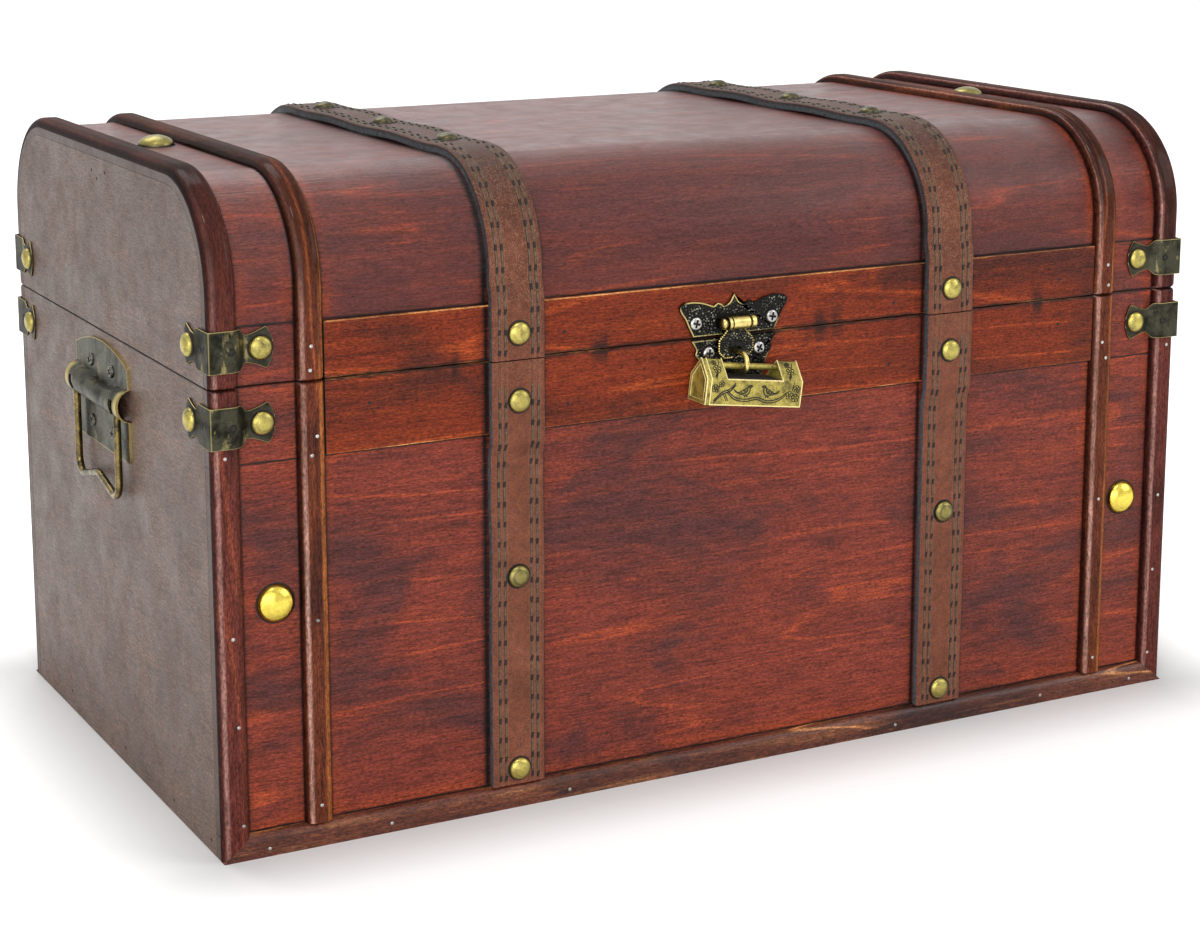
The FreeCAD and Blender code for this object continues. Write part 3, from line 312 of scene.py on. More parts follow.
class Tree:
    """Node tree built up by short calls."""

    def __init__(self, node_tree):
        self.node_tree = node_tree

    def add(self, kind, inputs=None, output=0, **settings):
        """One output of a new node, whose inputs are set or linked."""
        node = self.node_tree.nodes.new("ShaderNode" + kind)
        for key, value in settings.items():
            setattr(node, key, value)
        for key, value in (inputs or {}).items():
            self.put(node.inputs[key], value)
        return Signal(self, node.outputs[output])

    def put(self, socket, value):
        """Link an input to a signal, or set it."""
        if isinstance(value, Signal):
            self.node_tree.links.new(value.socket, socket)
        elif socket.type == "RGBA":
            socket.default_value = (*value, 1)
        else:
            socket.default_value = value

    def math(self, operation, first, second=0.0):
        return self.add("Math", {0: first, 1: second}, operation=operation)

    def larger(self, first, second):
        return self.math("MAXIMUM", first, second)

    def seen(self):
        """1 for rays that show a thing straight, mirrored or through glass, and 0 for its light."""
        camera, glossy, through = (
            self.add("LightPath", output=f"Is {kind} Ray") for kind in ("Camera", "Glossy", "Transmission")
        )
        return self.larger(self.larger(camera, glossy), through)


class Look(Tree):
    """Material. Its place and normal are those of the piece at rest."""

    def __init__(self, name):
        self.material = bpy.data.materials.new(name)
        self.material.use_nodes = True
        super().__init__(self.material.node_tree)
        self.shader = self.node_tree.nodes["Principled BSDF"]
        self.place = self.add("TexCoord", output="Object")
        self.normal = self.add("TexCoord", output="Normal")

    def shade(self, **values):
        """Set or link the shader's inputs by name."""
        for key, value in values.items():
            name = key.replace("_", " ").title().replace("Ior", "IOR")
            self.put(self.shader.inputs[name], value)
        return self.material

    def stretched(self, scale):
        return self.add("Mapping", {"Vector": self.place, "Scale": scale})

    def noise(self, vector, scale, detail, roughness, distortion=0.0):
        inputs = {"Vector": vector, "Scale": scale, "Detail": detail}
        inputs.update({"Roughness": roughness, "Distortion": distortion})
        return self.add("TexNoise", inputs)

    def ramp(self, value, *stops):
        """Colour or grey level from a value, between stops (position, colour or grey)."""
        shade = self.add("ValToRGB", {"Fac": value}, "Color")
        elements = shade.socket.node.color_ramp.elements
        while len(elements) < len(stops):
            elements.new(0.5)
        for element, (position, colour) in zip(elements, stops):
            element.position = position
            colour = (colour,) * 3 if isinstance(colour, (int, float)) else colour
            element.color = (*colour, 1)
        return shade

    def mix(self, factor, first, second, blend="MIX"):
        inputs = {0: factor, 6: first, 7: second}
        return self.add("Mix", inputs, 2, data_type="RGBA", blend_type=blend)

    def toned(self, colour, value, *stops, amount=1.0):
        """Colour multiplied by a grey level from a value."""
        return self.mix(amount, colour, self.ramp(value, *stops), "MULTIPLY")

    def vector(self, operation, first, second=(0, 0, 0), output=0):
        return self.add("VectorMath", {0: first, 1: second}, output, operation=operation)

    def axis(self, name):
        return self.add("SeparateXYZ", {0: self.place}, name)

    def normal_along(self, name):
        """How far the surface faces along an axis, from -1 to 1."""
        return self.add("SeparateXYZ", {0: self.normal}, name)

    def outside(self):
        """1 where the surface looks away from the middle of the chest, 0 where it looks in."""
        outwards = self.vector("SUBTRACT", self.place, MIDDLE)
        return self.vector("DOT_PRODUCT", outwards, self.normal, "Value") > 0.0

    def near(self, axis, position, width, waver):
        """1 at a line across an axis and on its mirror image, fading to 0 within an uneven width."""
        away = abs(abs(self.axis(axis)) - position * MM) / (width * MM)
        return self.ramp(away + (waver - 0.5) * 1.2, (0.15, 1.0), (1.0, 0.0))

    def tone(self):
        return self.add("Attribute", output="Fac", attribute_name="tone")

    def bare(self):
        """How far the tone lies below 0."""
        return self.larger(self.tone() * -1.0, 0.0)

    def bump(self, height, strength, distance):
        return self.add("Bump", {"Height": height, "Strength": strength, "Distance": distance})


# Black of dirt in joints, and of painted shadow beside parts that stand proud of the wood
GRIME_AND_SHADE = (0.006, 0.004, 0.004)
SPILL = (0.010, 0.007, 0.007)


def wood(name, along, dark, middle, light, gloss=0.36, shine=0.2, coat=0.0, top_coat=0.0, veins=0.6,
         glow=(), grime_and_shade=(), depth=1.0, haze=None, flank_highlight_and_wear=None, stain=0.0, ends=None):
    """Stained and polished wood with grain, blotches, bright veins and pores.

    The grain runs along X, along Y, or in planes across X for an arch. Lines of glow are paler, and
    lines of grime and shade are black: dirt and painted shade along the joints, dirt at the seam, and
    painted shadow beside the straps and battens. A haze tints the wood between two heights, which on the
    panels is a painted cool reflection. A flank highlight and wear paints a highlight on the left flank
    of a round bar, wear on its right flank and shade on its sides. A stain spills over the seam, and
    ends colours the cut ends of a sheet.
    """
    look = Look(name)

    def grain(across, scale, *kind):
        """Noise that is drawn out along the grain."""
        stretch = {"x": (1, across, across), "y": (across, 1, across), "arch": (across, 1, 1)}[along]
        return look.noise(look.stretched(stretch), scale, *kind)

    outside = look.outside()
    upright = look.ramp(abs(look.normal_along("Z")), (0.94, 1.0), (0.99, 0.0))
    blotch = grain(2.2, 9.0, 6, 0.62, 0.8)
    figure = grain(11, 2.6, 2, 0.4, 0.3)
    streak = grain(14, 16.0, 5, 0.6, 0.6)
    fibre = grain(10, 130.0, 4, 0.7, 0.2)
    speck = grain(3, 520.0, 3, 0.75)
    calm = 1.0
    fade = 1.0
    colour = look.ramp(blotch, (0.38, dark), (0.51, middle), (0.66, scaled(middle, 1.2)))
    if haze:
        low, high, tint = haze
        height = look.ramp(look.axis("Z") * 2.0, (2 * low * MM, 0.0), (2 * high * MM, 0.9)) * outside
        colour = look.mix(height * look.ramp(blotch, (0.38, 1.0), (0.70, 0.5)), colour, tint)
        calm = 1.0 - height * 0.35
        fade = 1.0 - height

    # Bright and deep streaks, then thin veins along the rings of the figure
    bright = look.ramp(streak, (0.50, 0.0), (0.70, 0.6)) * veins * calm
    colour = look.mix(bright, colour, light)
    deep = look.ramp(streak, (0.30, 0.55), (0.46, 0.0)) * calm
    colour = look.mix(deep, colour, scaled(dark, 0.6))
    ring = abs(look.math("FRACT", figure * 6.0) - 0.5)
    vein = look.ramp(ring, (0.0, 1.0), (0.07, 0.0)) * look.ramp(blotch, (0.42, 0.0), (0.52, 1.0))
    vein = vein * look.ramp(fibre, (0.30, 0.3), (0.5, 1.0)) * calm
    colour = look.mix(vein * min(1.0, 1.2 * veins), colour, scaled(light, 1.4))

    for axis, position, width, strength in glow:
        warm = look.near(axis, position, width, streak) * strength
        warm = warm * look.ramp(blotch, (0.42, 0.2), (0.58, 1.0)) * outside
        colour = look.mix(warm, colour, light)
    if flank_highlight_and_wear:
        left, right = flank_highlight_and_wear
        across = look.normal_along("X")
        uneven = look.ramp(streak, (0.35, 0.4), (0.6, 1.0)) * fade
        # Painted highlight on the left flank
        worn = look.ramp(across * -1.0, (0.22, 0.0), (0.42, 1.0), (0.6, 1.0), (0.8, 0.0))
        colour = look.mix(worn * uneven, colour, left)
        # Paler worn colour on the right flank
        worn = look.ramp(across, (0.08, 0.0), (0.3, 1.0), (0.7, 1.0), (0.9, 0.0))
        colour = look.mix(worn * uneven, colour, right)
        # Painted shade darkens the sides, where the bar meets the wood
        colour = look.toned(colour, abs(across), (0.7, 1.0), (0.95, 0.3))
    if ends:
        colour = look.mix(abs(look.normal_along("X")) > 0.9, colour, ends)
    pores = ((0.30, 1 - 0.6 * depth), (0.5, 1.0), (0.70, 1 + 0.5 * depth))
    colour = look.toned(colour, fibre, *pores, amount=calm)
    grit = ((0.30, 1 - 0.75 * depth), (0.5, 1.0), (0.7, 1 + 0.7 * depth))
    colour = look.toned(colour, speck, *grit, amount=calm)
    if stain:
        spill = look.ramp(look.noise(look.stretched((1, 0, 0)), 34.0, 3, 0.6), (0.56, 0.0), (0.62, stain))
        colour = look.mix(spill * look.near("Z", SEAM, 9.0, fibre), colour, SPILL)
    # Black lines: dirt, and painted shadow where a part stands proud of the wood
    for axis, position, width in grime_and_shade:
        dirt_and_shade = look.near(axis, position, width, fibre) * outside
        if axis == "Z":
            dirt_and_shade = dirt_and_shade * upright
        colour = look.mix(dirt_and_shade, colour, GRIME_AND_SHADE)

    polish = coat
    if top_coat:
        polish = look.ramp(look.normal_along("Z"), (0.2, 0.0), (0.8, top_coat))
        look.shade(coat_normal=look.bump(grain(20, 30.0, 4, 0.65, 0.5), 0.5, 0.0012))
    height = fibre * 0.6 + speck * 0.4 + streak * 0.6
    patches = look.noise(look.place, 70.0, 5, 0.65)
    return look.shade(
        base_color=colour,
        roughness=look.ramp(patches, (0.3, gloss - 0.08), (0.7, gloss + 0.12)),
        specular_ior_level=shine,
        coat_weight=polish,
        coat_roughness=0.16,
        normal=look.bump(height, 0.5, 0.0006),
    )


def leather(name, colour, worn):
    """Pebbled strap leather with dark creases and paler worn spots.

    A tone above 0 turns it to the rough grey of a cut edge, and one below 0 pales it beside a seam with a
    painted highlight along the edges of the stitch grooves. Over the top of the lid it is painted darker,
    on its cut edges too, and its pebbles get painted glints.
    """
    look = Look(name)
    pebble = look.add("TexVoronoi", {"Vector": look.place, "Scale": 1500.0}, "Distance")
    crease = look.noise(look.place, 300.0, 5, 0.7)
    broad = look.noise(look.place, 42.0, 4, 0.6)
    upward = look.normal_along("Z")
    lit = look.ramp(upward + look.axis("Z") * 2.0, (0.36, 0.0), (0.56, 1.0))
    shade = look.ramp(broad, (0.3, scaled(colour, 0.78)), (0.52, colour), (0.78, worn))
    shade = look.toned(shade, crease, (0.3, 0.45), (0.52, 1.0), (0.74, 1.45), amount=0.6)
    shade = look.toned(shade, pebble, (0.2, 1.25), (0.75, 0.55), amount=0.6)
    # Painted shade: darker where the strap faces up and where it lies over the lid
    shade = look.toned(shade, upward, (0.3, 1.0), (0.9, 0.42))
    shade = look.toned(shade, lit, (0.0, 1.0), (1.0, 0.8))
    # Painted glints on the pebbles over the lid
    glint = look.ramp(pebble, (0.15, 1.0), (0.5, 0.0)) * look.ramp(crease, (0.40, 0.1), (0.56, 1.0))
    shade = look.mix(glint * (lit * 0.5), shade, (0.46, 0.28, 0.19))
    fuzz = look.noise(look.place, 700.0, 4, 0.7)
    fuzz = look.ramp(fuzz, (0.32, (0.036, 0.044, 0.050)), (0.7, (0.19, 0.225, 0.25)))
    # The cut edges are painted darker over the lid
    fuzz = look.toned(fuzz, lit, (0.0, 1.0), (1.0, 0.22))
    shade = look.mix(look.larger(look.tone(), 0.0), shade, fuzz)
    # Painted highlight beside the stitch grooves
    shade = look.mix(look.bare() * 0.6, shade, (0.30, 0.19, 0.12))
    return look.shade(
        base_color=shade,
        roughness=look.ramp(crease, (0.3, 0.34), (0.7, 0.55)),
        specular_ior_level=0.2,
        normal=look.bump(pebble * -1.0 + crease * 0.8, 0.75, 0.0006),
    )


def metal(name, colour, tarnish, worn, rough, cover, grain, metallic=1.0, pits=0.4, wear=0.0, rim=1.0):
    """Brass or steel with tarnish in patches.

    A tone above 0 adds tarnish, and one below 0 bares worn metal.
    """
    look = Look(name)
    patch = look.noise(look.place, grain, 6, 0.68, 0.3)
    fine = look.noise(look.place, grain * 6, 4, 0.72)
    covered = look.larger(look.ramp(patch, (cover[0], 0.0), (cover[1], 1.0)), look.tone())
    shade = look.mix(covered, colour, tarnish)
    shade = look.toned(shade, fine, (0.32, 0.25), (0.5, 1.0), (0.7, 1.25), amount=pits)
    bare = look.bare()
    if wear:
        rubbed = look.noise(look.stretched((1, 1, 0.6)), 85.0, 5, 0.7, 0.2)
        bare = look.larger(bare, look.ramp(rubbed, (0.58, 0.0), (0.68, wear)))
    return look.shade(
        base_color=look.mix(bare, shade, worn),
        roughness=look.ramp(patch, (0.3, rough[0]), (0.7, rough[1])),
        metallic=metallic,
        specular_tint=(rim, rim, rim),
        normal=look.bump(fine + patch, 0.35, 0.00025),
    )


def plain(name, colour, rough, scale, spread):
    """Small dark or pale parts with a little variation."""
    look = Look(name)
    patch = look.noise(look.place, scale, 5, 0.65)
    shade = look.ramp(patch, (0.3, scaled(colour, 1 - spread)), (0.7, scaled(colour, 1 + spread)))
    return look.shade(base_color=shade, roughness=rough, normal=look.bump(patch, 0.3, 0.0002))


GOLD = (0.62, 0.50, 0.20)
YELLOW = (0.86, 0.70, 0.26)
PALE_STEEL = (0.50, 0.49, 0.46)
PURPLE_SHEEN = (0.098, 0.028, 0.025)
DARK_BROWN = (0.026, 0.011, 0.008)
PLY_END = (0.085, 0.052, 0.040)

# Lines of grime and shade as (axis, position, width): painted shadow beside the straps, dirt and painted
# shade along the joints, and at the levels dirt at the seam with painted shadow along the edges of the
# battens and the bottom moulding
STRAP_SHADOWS = (("X", 126.2, 2.4), ("X", 99.0, 1.6))
JOINTS = (("X", 237.5, 1.3), ("X", 212, 1.0), ("X", 200, 1.2)) + STRAP_SHADOWS
LEVELS = (("Z", SEAM, 1.2), ("Z", 227, 1.0), ("Z", 169.6, 0.8), ("Z", 10.8, 1.0))

# The purple haze on the lid's front is a painted cool reflection of the varnish
PANEL = wood(
    "panel_wood", "x", (0.092, 0.024, 0.021), (0.192, 0.034, 0.020), (0.34, 0.058, 0.018),
    top_coat=0.3, veins=0.45, haze=(192, 228, PURPLE_SHEEN), grime_and_shade=JOINTS + LEVELS, ends=PLY_END,
    glow=(("X", 235, 5, 0.25), ("X", 214.5, 6, 0.25), ("X", 198, 4, 0.5), ("Z", 13, 5, 0.5)),
)
BATTEN_WOOD = wood(
    "batten_wood", "x", (0.078, 0.017, 0.010), (0.178, 0.027, 0.009), (0.33, 0.058, 0.013),
    shine=0.14, veins=0.5, stain=0.85, grime_and_shade=(("Z", SEAM, 1.9),) + STRAP_SHADOWS,
    glow=(("Z", 226, 2.5, 0.5), ("Z", 170.5, 2.5, 0.5)),
)
END_WOOD = wood(
    "end_wood", "y", (0.112, 0.066, 0.048), (0.130, 0.077, 0.055), (0.165, 0.086, 0.056),
    gloss=0.42, shine=0.3, veins=0.3, depth=1.1, grime_and_shade=(("Z", SEAM, 1.0),), glow=(("Y", 131, 9, 0.5),),
)
# The mouldings and strips are tinted darker brown higher up the lid
MOULDING = wood(
    "moulding_wood", "arch", (0.045, 0.012, 0.010), (0.115, 0.027, 0.020), (0.20, 0.046, 0.022),
    gloss=0.3, shine=0.0, coat=0.16, veins=0.5, depth=0.9, grime_and_shade=(("Z", SEAM, 1.2),),
    haze=(206, 258, DARK_BROWN), flank_highlight_and_wear=((0.36, 0.185, 0.155), (0.12, 0.030, 0.018)),
)
STRIP = wood(
    "strip_wood", "arch", (0.055, 0.015, 0.010), (0.130, 0.032, 0.015), (0.26, 0.066, 0.020),
    gloss=0.3, shine=0.0, coat=0.16, veins=0.6, depth=0.9, grime_and_shade=(("Z", SEAM, 1.2),),
    haze=(202, 252, DARK_BROWN), flank_highlight_and_wear=((0.48, 0.260, 0.205), (0.40, 0.130, 0.036)),
)
RAIL = wood(
    "bottom_moulding_wood", "x", (0.040, 0.012, 0.009), (0.115, 0.030, 0.016), (0.50, 0.21, 0.075),
    gloss=0.3, shine=0.3, coat=0.1, veins=0.7, grime_and_shade=(("Z", 10.3, 0.7),),
)
BOTTOM = wood(
    "bottom_wood", "x", (0.13, 0.075, 0.045), (0.22, 0.13, 0.08), (0.28, 0.17, 0.10), gloss=0.55, veins=0.3
)
WORN_EDGE = wood(
    "worn_wood_edge", "x", (0.10, 0.022, 0.008), (0.34, 0.085, 0.020), (0.80, 0.42, 0.15),
    glow=(("Z", 227, 3.0, 0.8),), grime_and_shade=(("Z", SEAM, 2.6), ("X", 200, 1.4)),
)
LEATHER = leather("strap_leather", (0.238, 0.073, 0.037), (0.32, 0.110, 0.060))
THREAD = plain("strap_thread", (0.105, 0.080, 0.052), 0.6, 900.0, 0.8)
HOLE = plain("dark_hole", (0.008, 0.006, 0.005), 0.8, 300.0, 0.35)

# Metals: colour, tarnish and worn colour, range of roughness, where tarnish covers, fineness of grain
STUD = metal(
    "stud_brass", (0.48, 0.40, 0.105), (0.060, 0.054, 0.034), YELLOW, (0.22, 0.4), (0.50, 0.74), 190.0
)
DOME = metal(
    "dome_brass", (0.82, 0.64, 0.10), (0.22, 0.15, 0.03), YELLOW, (0.12, 0.26), (0.62, 0.82), 110.0,
    pits=0.3, rim=0.6,
)
BRACKET = metal(
    "bracket_brass", (0.056, 0.053, 0.035), (0.016, 0.016, 0.012), GOLD, (0.3, 0.46), (0.42, 0.6), 90.0,
    wear=0.4, rim=0.65,
)
BRIGHT = metal(
    "worn_brass", (0.70, 0.56, 0.20), (0.15, 0.11, 0.04), YELLOW, (0.2, 0.4), (0.5, 0.72), 300.0
)
HANDLE = metal(
    "handle_brass", (0.110, 0.106, 0.078), (0.034, 0.035, 0.027), GOLD, (0.20, 0.40), (0.45, 0.62), 70.0,
    wear=0.25, rim=0.62,
)
BAIL = metal(
    "bail_brass", (0.22, 0.16, 0.060), (0.045, 0.038, 0.024), GOLD, (0.2, 0.4), (0.40, 0.58), 120.0
)
HASP = metal(
    "hasp_brass", (0.026, 0.025, 0.022), (0.010, 0.010, 0.010), GOLD, (0.35, 0.55), (0.4, 0.6), 400.0
)
GRAIN_METAL = metal(
    "hasp_grain", (0.36, 0.35, 0.27), (0.034, 0.033, 0.027), GOLD, (0.25, 0.45), (0.38, 0.54), 260.0
)
LOCK = metal(
    "lock_brass", (0.47, 0.38, 0.075), (0.10, 0.08, 0.016), YELLOW, (0.3, 0.5), (0.44, 0.66), 220.0,
    metallic=0.4, pits=0.7,
)
LOCK_EDGE = metal(
    "lock_edge", (0.84, 0.71, 0.30), (0.36, 0.28, 0.08), YELLOW, (0.25, 0.4), (0.58, 0.8), 220.0, metallic=0.4
)
HINGE = metal(
    "hinge_brass", (0.40, 0.31, 0.12), (0.12, 0.095, 0.045), GOLD, (0.28, 0.46), (0.45, 0.65), 90.0
)
STEEL = metal(
    "screw_steel", PALE_STEEL, (0.03, 0.028, 0.025), PALE_STEEL, (0.22, 0.4), (0.5, 0.7), 260.0
)
OLD_SCREW = metal(
    "old_screw", (0.13, 0.125, 0.10), (0.02, 0.02, 0.017), GOLD, (0.25, 0.45), (0.45, 0.65), 260.0
)


def named(pattern, *choices):
    """Names of nodes for every combination of the choices."""
    return [pattern.format(*words) for words in itertools.product(*choices)]


def dress(names, material, edge=0.0, edge_material=None):
    """Give CAD nodes a material, with softened edges that may show wear."""
    for name in names:
        node = nodes[name]
        node.data.materials.clear()
        node.data.materials.append(material)
        if not edge:
            continue
        weld = node.modifiers.new("weld", "WELD")
        weld.merge_threshold = 0.00001
        bevel = node.modifiers.new("bevel", "BEVEL")
        bevel.width = edge * MM
        bevel.segments = 2
        bevel.limit_method = "ANGLE"
        bevel.angle_limit = math.radians(35)
        bevel.harden_normals = True
        if edge_material:
            node.data.materials.append(edge_material)
            bevel.material = 1


def dress_wood():
    dress(named("base_{}_panel", FRONT_BACK) + ["lid_skin"], PANEL, 0.3)
    dress(named("{}_{}_batten", BODIES, FRONT_BACK), BATTEN_WOOD, 0.5, WORN_EDGE)
    dress(named("{}_{}_end_panel", BODIES, SIDES), END_WOOD, 0.3)
    dress(named("base_corner_moulding_{}_{}", FRONT_BACK, SIDES), MOULDING)
    dress(named("lid_moulding_{}", SIDES), MOULDING)
    dress(named("base_strip_{}_{}", FRONT_BACK, SIDES), STRIP)
    dress(named("lid_strip_{}", SIDES), STRIP)
    dress(named("bottom_moulding_{}", FRONT_BACK), RAIL)
    dress(["bottom_board"], BOTTOM, 0.3)


def dress_metal():
    hinges = named("hinge_{}_{}", ("base_leaf", "lid_leaf", "pin"), SIDES)
    dress(hinges, HINGE, 0.2, BRIGHT)
    dress(["hasp_tongue"], HASP, 0.2)
    dress(["hasp_pin", "hasp_staple"], BRIGHT)
    # The padlock's bevels take a bright colour: rubbed brass, and partly a painted highlight
    dress(["padlock_body", "padlock_bolt"], LOCK, 0.3, LOCK_EDGE)
    dress(named("bail_{}", SIDES), BAIL)


def strap_line(lid):
    """Line of a strap's underside from its front foot, as points (y, z)."""
    ramp = 9.0
    if not lid:
        foot, climb, steps = 10.8, 168.0, 95
        heights = [foot + (RIM - foot) * i / steps for i in range(steps + 1)]
        return [(-FACE - BATTEN * smooth((z - climb + ramp) / ramp), z) for z in heights]
    fall, steps = 228.5, 18
    half = []
    for i in range(steps + 1):
        z = SEAT + (TOP - BEND - SEAT) * i / steps
        half.append((-FACE - BATTEN * (1 - smooth((z - fall) / ramp)), z))
    bend_steps = 24
    for i in range(1, bend_steps + 1):
        angle = math.pi / 2 * i / bend_steps
        half.append((-FACE + BEND - BEND * math.cos(angle), TOP - BEND + BEND * math.sin(angle)))
    # Between its nails the strap lifts a little off the top
    lift = 0.9
    half += [(y, TOP + lift * math.sin(math.pi * y / TOP_NAIL_PITCH) ** 2) for y in range(-88, 0, 4)]
    return half + [(0, TOP)] + [(-y, z) for y, z in reversed(half)]


def strap_section():
    """Points (across, height, tone) round a strap, with a groove for each row of stitches."""
    steps, edge_drop, edge_width, dark, dark_width = 64, 0.5, 1.0, 0.35, 0.5
    groove_depth, groove_width = 0.36, 0.55
    pale, pale_distance, pale_width = 0.35, 0.95, 0.3
    top = []
    for i in range(steps + 1):
        across = STRAP_HALF * (2 * i / steps - 1)
        edge = STRAP_HALF - abs(across)
        height = STRAP_THICK - edge_drop * (1 - smooth(edge / edge_width))
        tone = dark * (1 - smooth(edge / dark_width))
        for row in STITCH_ROWS:
            beside = abs(abs(across - row) - pale_distance)
            height -= groove_depth * math.exp(-(((across - row) / groove_width) ** 2))
            # Painted highlight on each edge of a stitch groove
            tone -= pale * math.exp(-((beside / pale_width) ** 2))
        top.append((across, height, tone))
    cut = [(STRAP_HALF, 3.2, 0.9), (STRAP_HALF, 0.5, 1.0), (STRAP_HALF - 0.4, 0.0, 1.0)]
    return top + cut + [(-across, height, tone) for across, height, tone in reversed(cut)]


def strap(name, node, x, lid, back=False):
    """Leather strap with stitched edges that lies along its line."""
    sway_reach, sway_length = 0.5, 40
    wave_height, wave_across, wave_length = 0.16, 5, 11
    turn = -1 if back else 1
    line = [Vector((turn * y, z)) for y, z in strap_line(lid)]
    section = strap_section()
    rings = []
    tones = []
    stations = []
    length = 0.0
    for i, point in enumerate(line):
        along = (line[min(i + 1, len(line) - 1)] - line[max(i - 1, 0)]).normalized()
        out = Vector((-along.y, along.x)) * turn
        length += (point - line[i - 1]).length if i else 0.0
        stations.append((length, point, out))
        ring = []
        sway = sway_reach * noise.noise(Vector((x, length / sway_length, 3.0)))
        for across, height, tone in section:
            wave = wave_height * noise.noise(Vector((across / wave_across, length / wave_length, x)))
            level = height + wave * (height / STRAP_THICK)
            spot = point + out * max(level, 0.0)
            ring.append((x + across + sway, spot.x, spot.y))
            tones.append(tone)
        rings.append(ring)
    body = "lid" if lid else "base"
    Shape().add(loft(rings), tone=tones).piece(name, body, "strap_leather", [LEATHER], [node], sharp=50)
    stitches(f"{name}_stitches", body, x, stations)


def stitches(name, body, x, stations):
    """Sewn thread in the grooves of a strap, with a hole at each end of a stitch."""
    pitch, margin, arch_steps = 8.9, 0.9, 6
    from_start, from_finish = 3.0, 2.0
    thread_radius, thread_level, thread_rise = 0.5, STRAP_THICK - 0.42, 0.26
    hole_radius, hole_half, hole_level = 0.7, 1.2, STRAP_THICK - 0.25
    shape = Shape()
    total = stations[-1][0]

    def spot(length, across, height):
        """Point at a length along the strap and a height over its underside."""
        for before, after in zip(stations, stations[1:]):
            if after[0] >= length:
                break
        share = (length - before[0]) / (after[0] - before[0])
        point = before[1].lerp(after[1], share) + before[2].lerp(after[2], share) * height
        return Vector((x + across, point.x, point.y))

    for row in STITCH_ROWS:
        length = from_start + chance.random()
        while length + pitch < total - from_finish:
            path = []
            for i in range(arch_steps + 1):
                share = i / arch_steps
                height = thread_level + thread_rise * math.sin(math.pi * share)
                path.append(spot(length + margin + share * (pitch - 2 * margin), row, height))
            shape.add(tube(path, thread_radius, 6, flat=0.8))
            lean = chance.uniform(0.0, 0.3)
            steps = (-hole_half, 0.0, hole_half)
            hole = [spot(length + step, row + lean * step, hole_level) for step in steps]
            shape.add(tube(hole, hole_radius, 6), look=1)
            length += pitch
    shape.piece(name, body, "strap_leather", [THREAD, HOLE])


def straps():
    for side, x in (("left", -STRAP_X), ("right", STRAP_X)):
        strap(f"strap_over_lid_{side}", f"lid_strap_{side}", x, True)
        strap(f"strap_front_{side}", f"base_strap_front_{side}", x, False)
        strap(f"strap_back_{side}", f"base_strap_back_{side}", x, False, back=True)


def nail_profile(radius, rise):
    """Dome with a thin rim, as (radius, height) pairs."""
    rim, steps = 0.3, 12
    profile = [(radius * 0.94, 0.0), (radius, 0.12), (radius, rim)]
    for i in range(1, steps):
        angle = math.pi / 2 * i / steps
        profile.append((radius * math.cos(angle) * 0.985, rim + (rise - rim) * math.sin(angle)))
    return profile + [(0, rise)]


def dullness(side, level):
    """Tarnish of a whole nail head: strong on the lid's top and half way down the straps."""
    if side == "top":
        return 0.9
    if abs(level - STRAP_MIDDLE_NAIL) < 1:
        return 0.6
    return 0.25 * chance.random()


def nail_heads(name, node, body, material, head, places, age=1.0):
    """Round nail heads, each a little dented and tarnished, darker low down with painted shade and tarnish,
    and with a dark ring round its rim that is painted shadow with some dirt.
    """
    diameter, rise = head
    dent_depth, dull_rim = 0.12, 0.45 * rise
    groove_tone, groove_place, groove_width = 0.3, 0.31, 0.045
    shape = Shape()
    radius = diameter / 2
    points, faces = lathe(nail_profile(radius, rise), 36)
    # A dark ring round each head: painted shadow, with some dirt
    dirt_and_shade = [(radius - 0.6, 0.0), (radius - 0.3, 0.22), (radius + 0.35, 0.14), (radius + 0.6, 0.0)]
    dirt_and_shade = lathe(dirt_and_shade, 36)
    for side, point in places:
        dull = dullness(side, point[2])
        dented = []
        tones = []
        for p in points:
            p = Vector(p)
            dent = dent_depth * noise.noise(Vector(point) + p * 0.35)
            # Darker low on the head: painted shade, with tarnish
            rim = 1 - smooth(p.z / dull_rim)
            from_groove = (p.xy.length / diameter - groove_place) / groove_width
            groove = groove_tone * math.exp(-(from_groove**2))
            dented.append(p + Vector((0, 0, dent * p.z / rise)))
            tones.append(min(1.0, age * (dull + rim + groove)))
        shape.add((dented, faces), facing(side, point), tones)
        shape.add(dirt_and_shade, facing(side, point), look=1)
    shape.piece(name, body, "nail_brass", [material, HOLE], [node], sharp=60)


def strap_nails(*levels):
    """Places of the nails down the straps, front and back."""
    places = []
    for x in (-STRAP_X, STRAP_X):
        for z, stand in levels:
            places += both_faces(x, stand, z)
    return places


def at_brackets(body, from_end, from_face, proud):
    """Two places at each corner bracket of a body: one in front or behind, one on the end."""
    z = BRACKET_LEVELS[body]
    corner = FACE + MOULDING_PROUD
    places = []
    for x_sign, side in zip((-1, 1), SIDES):
        for y_sign, front in zip((-1, 1), FRONT_BACK):
            places.append((front, (x_sign * (END - from_end), y_sign * (FACE + proud), z)))
            places.append((side, (x_sign * (END + BRACKET_THICK), y_sign * (corner - from_face), z)))
    return places


